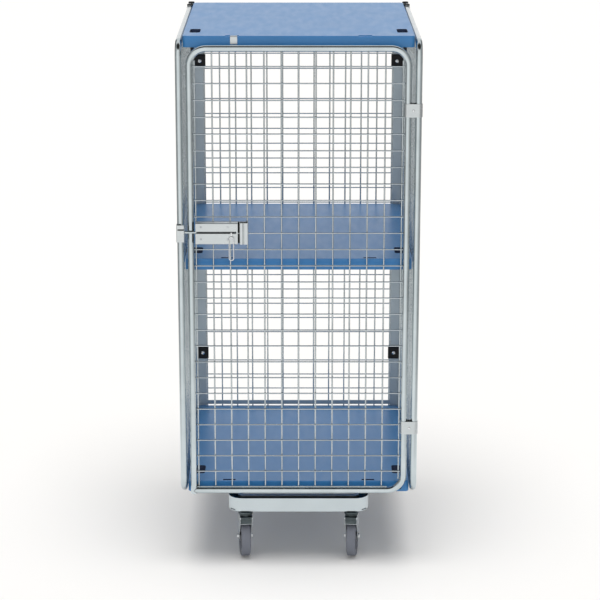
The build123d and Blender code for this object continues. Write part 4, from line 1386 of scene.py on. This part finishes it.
band_r = TUBE_R + SLEEVE_GAP + SHEET / 2
bm, rivets = bmesh.new(), bmesh.new()
for low_z in (strap_low.z, strap_high.z - STRAP_HEIGHT):
    line = []
    for centre_x, start in ((POST_X, -pi / 2), (DOOR_X, pi / 2)):
        turns = [start + pi * step / HALF_TURN_STEPS for step in range(HALF_TURN_STEPS + 1)]
        line += [Vector((centre_x + band_r * cos(turn), DOOR_Y + band_r * sin(turn), 0)) for turn in turns]
    fold(bm, line, Z_AXIS, [low_z, low_z + STRAP_HEIGHT], closed=True)
    spot = Vector(((POST_X + DOOR_X) / 2, DOOR_Y, low_z + STRAP_HEIGHT / 2))
    face = band_r + SHEET / 2
    for out in (-1, 1):
        place = Matrix.Translation(spot + Y_AXIS * out * face) @ Matrix.Rotation(-out * pi / 2, 4, "X")
        dome(rivets, place, RIVET_R, RIVET_RISE)
    bar(rivets, spot - Y_AXIS * face, spot + Y_AXIS * face, RIVET_R / 2, X_AXIS)
sheet_piece("hinge_bands", bm, "hinge_links", sheet_zinc, ["hinge_straps"])
add_piece("hinge_rivets", rivets, "hinge_links", bright_zinc_and_glint)

# %% [markdown]
# The latch housing is a folded channel on the door's mesh, with a slot along its front for the bolt's
# lug. A Boolean could cut the slot. Folding the sheet along X and leaving out the cells inside the slot
# keeps it clean for Solidify.

# %% Latch housing
LATCH_SLOT, SLOT_STOP, COVER_BEND, BOLT_R = 6 * MM, 4.5 * MM, 2.2 * MM, 3.5 * MM
bolt_low, bolt_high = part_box("slide_bolt")
BOLT_Z = bolt_high.z - BOLT_R
low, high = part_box("latch_housing")
front, back = low.y + SHEET / 2, high.y
top, bottom = high.z - SHEET / 2, low.z + SHEET / 2
corners = [((0, back, top), 0), ((0, front, top), COVER_BEND), ((0, front, BOLT_Z + LATCH_SLOT / 2), 0),
           ((0, front, BOLT_Z - LATCH_SLOT / 2), 0), ((0, front, bottom), COVER_BEND), ((0, back, bottom), 0)]
slot_end = high.x - SLOT_STOP


def in_slot(spot):
    """Whether a cell of the sheet lies in the bolt's slot."""
    return spot.x < slot_end and abs(spot.z - BOLT_Z) < LATCH_SLOT / 2


bm = bmesh.new()
fold(bm, soft_line(corners), X_AXIS, [low.x, slot_end, high.x], in_slot)
sheet_piece("latch_cover", bm, "door", sheet_zinc, ["latch_housing"])

# %% [markdown]
# Four rivets hold the housing to a plate behind the mesh, which clamps the wires. A rivet could be a bump
# in the finish, but it shows from the side, so its head is a low dome, spun like the caps.

# %% Latch rivets and back plate
RIVET_LEFT, RIVET_RIGHT, RIVET_TOP, RIVET_BOTTOM = 16 * MM, 30 * MM, 12 * MM, 16 * MM
FRONT_DOME, REAR_DOME = (3 * MM, 0.9 * MM), (3.4 * MM, 1.2 * MM)
CLAMP_CORNER, CLAMP_EDGE = 3 * MM, 0.3 * MM
rivets = bmesh.new()
plate_low, plate_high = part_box("latch_back_plate")
for x in (low.x + RIVET_LEFT, high.x - RIVET_RIGHT):
    for z in (low.z + RIVET_BOTTOM, high.z - RIVET_TOP):
        for y, turn, (radius, rise) in ((low.y, pi / 2, FRONT_DOME), (plate_high.y, -pi / 2, REAR_DOME)):
            dome(rivets, Matrix.Translation((x, y, z)) @ Matrix.Rotation(turn, 4, "X"), radius, rise)
add_piece("latch_rivets", rivets, "door", weld_zinc)
size, centre = plate_high - plate_low, (plate_low + plate_high) / 2
bm = bmesh.new()
outline = rounded_rectangle(size.x, size.z, CLAMP_CORNER, steps=5)
flat_part(bm, outline, size.y, facing((centre.x, plate_high.y, centre.z), X_AXIS, Z_AXIS), CLAMP_EDGE)
add_piece("latch_clamp_plate", bm, "door", sheet_zinc, ["latch_back_plate"])

# %% [markdown]
# Beside the housing a narrow folded bracket gives the hand something to pull, and a groove down its face
# stiffens it. The groove could be relief in the finish; folded into the bend line, it also shows at the
# bracket's ends. A dark strip fills the gap to the housing as painted shade: a black block that stands for
# the shade in the gap.

# %% Hand pull
GROOVE, GROOVE_DEPTH, GROOVE_INSET = 5 * MM, 3.5 * MM, 9 * MM
PULL_BEND, BRIM_BEND, GROOVE_BEND = 2 * MM, 0.8 * MM, 0.5 * MM
STRIP_LAP, STRIP_FRONT, STRIP_BACK, STRIP_EDGE = 0.4 * MM, 2 * MM, 4.7 * MM, 0.5 * MM
low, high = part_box("latch_pull")
front, inset = low.y + SHEET / 2, SHEET / 2
left, right = low.x + inset, high.x - inset
groove, slope = low.x + GROOVE_INSET, GROOVE / 4
floor_y = front + GROOVE_DEPTH
corners = [((left, high.y, 0), 0), ((left, front, 0), PULL_BEND), ((groove, front, 0), BRIM_BEND),
           ((groove + slope, floor_y, 0), GROOVE_BEND), ((groove + GROOVE - slope, floor_y, 0), GROOVE_BEND),
           ((groove + GROOVE, front, 0), BRIM_BEND), ((right, front, 0), PULL_BEND), ((right, high.y, 0), 0)]
bm = bmesh.new()
fold(bm, soft_line(corners, steps=5), Z_AXIS, [low.z, high.z])
sheet_piece("latch_hand_pull", bm, "door", sheet_zinc, ["latch_pull"])
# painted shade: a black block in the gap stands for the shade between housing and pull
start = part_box("latch_housing")[1].x - STRIP_LAP
bm = bmesh.new()
block(bm, Vector((start, DOOR_Y - STRIP_FRONT, low.z)),
      Vector((low.x + STRIP_LAP, DOOR_Y + STRIP_BACK, high.z)), STRIP_EDGE)
add_piece("latch_gap_painted_shade", bm, "door", black_plastic)

# %% [markdown]
# The bolt is a round bar with a flat lug that comes out through the slot and ends in an eye. Inside the
# housing it has painted shade, a dark coat that stands for the shade in there; outside it is plain, and the
# lug and the eye have a painted highlight, a brighter coat. A mask in one finish could show that. Bars and
# lug as parts with a coat each keep the borders crisp.

# %% Bolt
LUG, LUG_RISE, LUG_BEND, LUG_CORNER, LUG_EDGE = 4 * MM, 4.8 * MM, 2.2 * MM, 0.6 * MM, 0.4 * MM
EYE_R, EYE_HOLE, EYE_EDGE, EYE_STEPS, HOLE_STEPS = 4.5 * MM, 3.2 * MM, 0.5 * MM, 32, 24
BOLT_GAP, PAINTED_SHADE_START, BOLT_SIDES, BOLT_CHAMFER = 0.5 * MM, 2 * MM, 28, 0.25
eye = Vector(joints["loop_swing"]["pos_m"])
bolt_y, half = DOOR_Y - TUBE_R - BOLT_GAP - BOLT_R, LUG_RISE / 2
bm = bmesh.new()
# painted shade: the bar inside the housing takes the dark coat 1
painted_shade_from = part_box("latch_housing")[0].x + PAINTED_SHADE_START
for start, end, coat in ((painted_shade_from, bolt_high.x, 1), (bolt_low.x, painted_shade_from + BOLT_R, 0)):
    ends = [Vector((x, bolt_y, BOLT_Z)) for x in (start, end)]
    for face in bar(bm, *ends, BOLT_R, Z_AXIS, BOLT_SIDES, BOLT_CHAMFER):
        face.material_index = coat
bar_faces = len(bm.faces)
lug_line = [((bolt_y, BOLT_Z + half), 0), ((eye.y - half, BOLT_Z + half), LUG_BEND),
            ((eye.y - half, eye.z), 0), ((eye.y + half, eye.z), 0),
            ((eye.y + half, BOLT_Z - half), LUG_CORNER), ((bolt_y, BOLT_Z - half), 0)]
lug_place = facing((eye.x - LUG / 2, 0, 0), Y_AXIS, Z_AXIS)
flat_part(bm, soft_line(lug_line, closed=True, steps=4), LUG, lug_place, LUG_EDGE)
ring_place = facing((eye.x - LUG / 2, eye.y, eye.z), Y_AXIS, Z_AXIS)
hole = circle(EYE_HOLE, HOLE_STEPS)
flat_part(bm, circle(EYE_R, EYE_STEPS), LUG, ring_place, EYE_EDGE, [hole])
# painted highlight: the lug and the eye take the bright coat 2
for face in list(bm.faces)[bar_faces:]:
    face.material_index = 2
add_piece("bolt_bar", bm, "bolt", (tube_zinc, housed_painted_shade, bright_zinc_and_glint), ["slide_bolt"])

# %% [markdown]
# A long loop of wire hangs in the eye and swings on it. A stretched torus would be thicker at its ends
# than at its sides. A small ring swept along a closed line keeps the wire even all round.

# %% Pull loop
LOOP_BAR, LOOP_SIDES, LOOP_FLAT = 1.8 * MM, 14, 0.01 * MM
low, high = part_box("pull_loop")
wide = (high.x - low.x) / 2 - LOOP_BAR
bend = wide - LOOP_FLAT
track = soft_line([((x, eye.y, z), bend) for x, z in (
    (eye.x - wide, low.z + LOOP_BAR), (eye.x + wide, low.z + LOOP_BAR),
    (eye.x + wide, high.z - LOOP_BAR), (eye.x - wide, high.z - LOOP_BAR))], closed=True, steps=10)
bm = bmesh.new()
wire = circle(LOOP_BAR, LOOP_SIDES)
rings = [ring_at(bm, point, way, Y_AXIS, wire) for point, way in zip(track, directions(track, closed=True))]
skin(bm, rings, closed=True)
add_piece("pull_wire_loop", bm, "loop", bright_zinc_and_glint, ["pull_loop"])

# %% [markdown]
# The keeper is a band of sheet bent round the side of the left post and folded across its front, where the
# bolt slides in behind it. A narrow slit crosses its face, with a black pad behind it as painted shade, a
# dark block that stands for the shade in the slit. A Boolean could cut the slit; folding the band like the
# housing and leaving out the cells of the slit keeps its edges clean.

# %% Keeper
SLIT_RISE, SLIT_TALL, SLIT_START, KEEPER_BEND, WRAP_STEPS = 12 * MM, 4 * MM, 2 * MM, 1.5 * MM, 8
PAD_TALL, PAD_INSET, PAD_GAP, PAD_STOP, PAD_EDGE = 8 * MM, 0.5 * MM, 0.1 * MM, 1 * MM, 0.5 * MM
low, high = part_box("latch_keeper")
front = low.y + SHEET / 2
wrap = TUBE_R + SLEEVE_GAP + SHEET / 2
turns = [pi / 2 + pi / 2 * step / WRAP_STEPS for step in range(WRAP_STEPS + 1)]
line = [Vector((-POST_X + wrap * cos(turn), DOOR_Y + wrap * sin(turn), 0)) for turn in turns]
slit_x = -POST_X - TUBE_R + SLIT_START
across = [(line[-1], 0), ((-POST_X - wrap, front, 0), KEEPER_BEND), ((slit_x, front, 0), 0)]
line += soft_line(across, steps=4)[1:]
line.append(Vector((high.x, front, 0)))
slit_z = (low.z + high.z) / 2 + SLIT_RISE


def in_slit(spot):
    """Whether a cell of the band lies in the slit."""
    return spot.x > slit_x and spot.y < DOOR_Y and abs(spot.z - slit_z) < SLIT_TALL / 2


bm = bmesh.new()
fold(bm, line, Z_AXIS, [low.z, slit_z - SLIT_TALL / 2, slit_z + SLIT_TALL / 2, high.z], in_slit)
sheet_piece("latch_keeper_band", bm, "carcass", sheet_zinc, ["latch_keeper"])
# painted shade: a black block behind the slit stands for the shade in it
bm = bmesh.new()
block(bm, Vector((-POST_X - TUBE_R + PAD_INSET, low.y + SHEET + PAD_GAP, slit_z - PAD_TALL / 2)),
      Vector((high.x - PAD_STOP, DOOR_Y - TUBE_R - PAD_GAP, slit_z + PAD_TALL / 2)), PAD_EDGE)
add_piece("keeper_painted_shade_pad", bm, "carcass", black_rubber)

# %% [markdown]
# Screws hold the black clips on the rear panel. Each is a turned pan head with a cross recess. The recess
# could be a dark mark in the finish, but it is cut with the same Boolean as the roof, so that the mesh
# shows it too.

# %% Clip screws
SCREW_R, SCREW_STEPS = 4.2 * MM, 28
# share of the screw's radius and height in millimetres, from the washer to the crown
SCREW_PROFILE = ((0, -1), (1.35, -1), (1.35, 0.5), (1.2, 0.9), (1, 0.9), (1, 1.6), (0.8, 2.3),
                 (0.45, 2.6), (0, 2.6))
CROSS_LOW, CROSS_HIGH = Vector((-3, -0.7, 1.4)) * MM, Vector((3, 0.7, 4)) * MM
CROSS_EDGE = 0.1 * MM
clip_low, clip_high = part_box("rear_clips")
CLIP_WIDTH, CLIP_HEIGHT = 37 * MM, 42 * MM
bm, cutter = bmesh.new(), bmesh.new()
for side in (-1, 1):
    for z in (clip_low.z + CLIP_HEIGHT / 2, clip_high.z - CLIP_HEIGHT / 2):
        spot = Vector((side * (clip_high.x - CLIP_WIDTH / 2), clip_low.y, z))
        place = Matrix.Translation(spot) @ Matrix.Rotation(pi / 2, 4, "X")
        lathe(bm, [(SCREW_R * share, rise * MM) for share, rise in SCREW_PROFILE], place, SCREW_STEPS)
        for turn in (pi / 4, -pi / 4):
            part = bmesh.new()
            block(part, CROSS_LOW, CROSS_HIGH, CROSS_EDGE)
            join(cutter, part, place @ Matrix.Rotation(turn, 4, "Z"))
screws = add_piece("clip_screws", bm, "carcass", bright_zinc_and_glint)
cut_away(screws, cutter)

# %% [markdown]
# Some CAD solids already have the right shape: flat strips, clips, hooks, buffers and guides. They could
# be built again, but they stay, and only get their finish and a small bevel. A Weld modifier first joins
# the split points of the imported mesh, so that the bevel finds real edges.

# %% Dress the CAD pieces that stay
WELD_REACH = 0.01 * MM


def dress(node_name, finish, edge):
    """Give a CAD node its finish and softened edges."""
    piece = frame["nodes"][node_name]
    piece.data.materials.clear()
    piece.data.materials.append(finish)
    weld = piece.modifiers.new("weld", "WELD")
    weld.merge_threshold = WELD_REACH
    soften(piece, edge)
    print(f"{node_name} stays, with a {edge / MM:.1f} mm edge")


dress("rear_edge_strips", strip_zinc, 0.5 * MM)
dress("rear_bottom_bar", strip_zinc, 0.5 * MM)
dress("rear_clips", black_plastic, 0.8 * MM)
dress("shelf_hooks", black_plastic, 0.6 * MM)
dress("roof_hooks", sheet_zinc, 0.6 * MM)
dress("door_buffers", black_rubber, 1.2 * MM)
dress("caster_plates", channel_zinc, 0.4 * MM)
dress("bolt_guides", sheet_zinc, 0.4 * MM)
# painted shade: the guides' faces inside the housing take the dark coat
guides, covered = frame["nodes"]["bolt_guides"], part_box("latch_housing")[0].x
guides.data.materials.append(housed_painted_shade)
for face in guides.data.polygons:
    face.material_index = int((guides.matrix_world @ face.center).x > covered)

# %% [markdown]
# A rounded edge next to a wide flat face pulls the shading of the flat face askew. More edge loops would
# help, at the cost of more faces. Weighted normals let the large faces rule instead, so that flats look
# flat and only the roundings curve.

# %% Even shading
kept = [frame["nodes"][name] for name in frame["nodes"] if not frame["nodes"][name].hide_render]
for piece in pieces + kept:
    even = piece.modifiers.new("even shading", "WEIGHTED_NORMAL")
    even.keep_sharp = True
print(len(pieces), "pieces and", len(kept), "CAD nodes shaded evenly")

# %% [markdown]
# The stage is a white studio. Metal shows what is round it, so the studio is built for its reflections: a
# white floor near the object, bright panels round the horizon with darkness between them, and a ceiling
# that is dark in front and pale at the back. Real panels could stand there, but would cast light too; a
# ramp by bearing only shows in mirrors, and gives each tube a bright middle, dark streaks and thin
# highlights from every side.

# %% Bright panels
# bearing in degrees and level
BEARINGS = ((0, 0.66), (8, 0.66), (14, 0.18), (28, 0.18), (38, 1.0), (104, 1.0), (118, 0.70),
            (140, 0.70), (150, 0.18), (164, 0.18), (172, 0.66), (188, 0.66), (196, 0.18), (236, 0.18),
            (248, 0.90), (290, 0.90), (300, 0.18), (346, 0.18), (352, 0.66))


def greys(material, source, stops):
    """A grey level that runs through stops of position and level."""
    made = node(material, "ShaderNodeValToRGB", {"Fac": source})
    ramp = made.color_ramp
    for index, (position, level) in enumerate(stops):
        stop = ramp.elements[index] if index < 2 else ramp.elements.new(position)
        stop.position = position
        stop.color = (level, level, level, 1)
    return made.outputs["Color"]


def panels_round(material, place):
    """The level of the panels by bearing, from the left side by way of the front."""
    spot = node(material, "ShaderNodeSeparateXYZ", {0: place}).outputs
    turn = work_out(material, "ARCTAN2", spot["Y"], spot["X"])
    bearing = work_out(material, "ADD", work_out(material, "DIVIDE", turn, 2 * pi), 0.5)
    return greys(material, bearing, [(degrees / 360, level) for degrees, level in BEARINGS])


print(len(BEARINGS), "levels round the horizon")

# %% [markdown]
# The container stands on white paper. A plane with edges would show its horizon in the views from low
# down. A very wide disc has no edge in view, and it lies a little below the wheels, so that they don't
# fight for the same place.

# %% Floor disc
FLOOR_R, FLOOR_DROP, FLOOR_STEPS = 40.0, 2 * MM, 64
bm = bmesh.new()
lathe(bm, [(0, -FLOOR_DROP), (FLOOR_R, -FLOOR_DROP)], Matrix(), FLOOR_STEPS)
mesh = bpy.data.meshes.new("floor")
bm.to_mesh(mesh)
bm.free()
floor = bpy.data.objects.new("floor", mesh)
bpy.context.scene.collection.objects.link(floor)
floor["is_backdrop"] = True
print("floor radius", FLOOR_R)

# %% [markdown]
# The paper is white, takes the container's soft shadow, and is what bright metal mirrors from below. A
# shadow catcher could show the shadow, but metal would have nothing to mirror. So the floor is lit and
# shaded as it is, glows a little for the eye and for mirrors, and in mirrors fades into the dark of the
# room far out.

# %% Floor finish
FLOOR_SHADE, FLOOR_GLOW, FLOOR_TINT = 0.90, 0.08, (1.0, 0.984, 0.960)
NEAR_FLOOR, FAR_FLOOR = 1.4, 3.6
material, shader = new_finish("studio floor", Roughness=0.9, Specular_IOR_Level=0.0,
                              Emission_Color=(1, 1, 1, 1))
place = node(material, "ShaderNodeTexCoord").outputs["Object"]
away = node(material, "ShaderNodeVectorMath", {0: place})
away.operation = "LENGTH"
near = reach(material, away.outputs["Value"], 1.0, 0.0, NEAR_FLOOR, FAR_FLOOR)
level = work_out(material, "MAXIMUM", near, panels_round(material, place))
rays = node(material, "ShaderNodeLightPath").outputs
mirrored = work_out(material, "MULTIPLY", rays["Is Glossy Ray"], level)
direct = work_out(material, "MAXIMUM", rays["Is Camera Ray"], rays["Is Transmission Ray"])
plain = work_out(material, "SUBTRACT", 1.0, rays["Is Glossy Ray"])
shade = work_out(material, "MULTIPLY", work_out(material, "ADD", plain, mirrored), FLOOR_SHADE)
glow = work_out(material, "MULTIPLY", work_out(material, "ADD", direct, mirrored), FLOOR_GLOW)
tinted = tint(material, shade, (0, 0, 0), FLOOR_TINT, 0.0, 1.0)
seen = over(material, rays["Is Camera Ray"], shade, tinted)
wire_up(material, shader, Base_Color=seen, Emission_Strength=glow)
mesh.materials.append(material)
print("the floor reflects", FLOOR_SHADE, "and glows with", FLOOR_GLOW)

# %% [markdown]
# Round and above the floor, mirrors see the panels up to some height, and above them the ceiling. Walls
# could be built as meshes, but they would stand in the way of the camera. As colours of the world by
# direction they are infinitely far off and never in the way.

# %% Studio walls
BACK_CEILING = (0.86, 0.86, 0.87)
# where the pale back begins, and where the panels end, as parts of a direction
BACK_START, PANEL_TOP = (-0.05, 0.18), (0.60, 0.72)
# height and level of the dark front ceiling
FRONT_CEILING = ((0.0, 0.30), (0.66, 0.10), (0.74, 0.03), (0.97, 0.03), (1.0, 0.10))
world = bpy.data.worlds.new("studio")
world.use_nodes = True
bpy.context.scene.world = world
tree = world.node_tree
tree.nodes.clear()
place = node(world, "ShaderNodeTexCoord").outputs["Generated"]
spot = node(world, "ShaderNodeSeparateXYZ", {0: place}).outputs
dark = greys(world, spot["Z"], FRONT_CEILING)
behind = reach(world, spot["Y"], 0.0, 1.0, *BACK_START)
ceiling = over(world, behind, dark, BACK_CEILING)
low_down = reach(world, spot["Z"], 1.0, 0.0, *PANEL_TOP)
studio = over(world, low_down, ceiling, panels_round(world, place))
print("panels end at", PANEL_TOP, "and the back begins at", BACK_START)

# %% [markdown]
# The world has three tasks: soft even light on surfaces, white for the eye, and the panels for mirrors. A
# picture of a studio could do it, but this scene reads no pictures. Light Path tells the rays apart, so
# that each task can be set by itself.

# %% World light
AMBIENT = 0.42
rays = node(world, "ShaderNodeLightPath").outputs
ambient = node(world, "ShaderNodeBackground", Color=(1, 1, 1, 1), Strength=AMBIENT)
mirror = node(world, "ShaderNodeBackground", {"Color": studio}, Strength=1.0)
white = node(world, "ShaderNodeBackground", Color=(1, 1, 1, 1), Strength=1.0)
shown = node(world, "ShaderNodeMixShader",
             {0: rays["Is Glossy Ray"], 1: ambient.outputs[0], 2: mirror.outputs[0]})
through = work_out(world, "MAXIMUM", rays["Is Camera Ray"], rays["Is Transmission Ray"])
final = node(world, "ShaderNodeMixShader", {0: through, 1: shown.outputs[0], 2: white.outputs[0]})
output = node(world, "ShaderNodeOutputWorld", {"Surface": final.outputs[0]})
print("ambient", AMBIENT, "into", output.name)

# %% [markdown]
# Four wide soft lamps light the set. As in a studio, the floor has its own: it whitens the floor and
# draws the soft shadow. The others light the container from the front, from above and from behind, so
# that the deck and the shelf are lit under the roof. None of them shows in mirrors, where the panels do
# the work.

# %% Lamps
def softbox(name, energy, angle, tilt, on_floor):
    """A wide soft lamp that lights the floor alone, or everything but the floor."""
    lamp = bpy.data.lights.new(name, "SUN")
    lamp.energy = energy
    lamp.angle = radians(angle)
    lamp_object = bpy.data.objects.new(name, lamp)
    lamp_object.rotation_euler = (radians(tilt), 0, 0)
    lamp_object.visible_glossy = False
    bpy.context.scene.collection.objects.link(lamp_object)
    lit = bpy.data.collections.new(name)
    lit.objects.link(floor)
    lamp_object.light_linking.receiver_collection = lit
    if not on_floor:
        lit.collection_objects[0].light_linking.link_state = "EXCLUDE"
    print(name, energy)


softbox("floor softbox", energy=2.04, angle=42, tilt=10, on_floor=True)
softbox("front softbox", energy=1.1, angle=60, tilt=50, on_floor=False)
softbox("overhead softbox", energy=0.5, angle=60, tilt=0, on_floor=False)
softbox("rear softbox", energy=1.35, angle=60, tilt=-50, on_floor=False)

# %% [markdown]
# The camera stands where the photograph was taken, above head height and far off. A wide lens from close
# by would show more of the sides; a long lens from afar hardly shows them, and the roof's top lies in
# view.

# %% Camera
IMAGE_SIZE = 600
FOCAL_PIXELS = 2170
CAMERA_SPOT, CAMERA_TILT, SIDE_SHIFT = (-9.4 * MM, -6686 * MM, 2558.9 * MM), 74.87, 0.0075
SENSOR, FAR_END = 36.0, 200.0
camera = bpy.data.cameras.new("camera")
camera.sensor_width = SENSOR
camera.lens = FOCAL_PIXELS / IMAGE_SIZE * SENSOR
camera.shift_x = SIDE_SHIFT
camera.clip_end = FAR_END
camera_object = bpy.data.objects.new("camera", camera)
camera_object.location = CAMERA_SPOT
camera_object.rotation_euler = (radians(CAMERA_TILT), 0, 0)
bpy.context.scene.collection.objects.link(camera_object)
bpy.context.scene.camera = camera_object
bpy.context.scene.view_settings.view_transform = "Standard"
print("lens", round(camera.lens, 1), "mm")

# %% [markdown]
# Last, the size of the dressed container is printed. It could be judged by eye, but numbers tell of a
# millimetre.

# %% Sizes
low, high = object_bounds()
print("visual box in metres:", tuple(low), tuple(high))
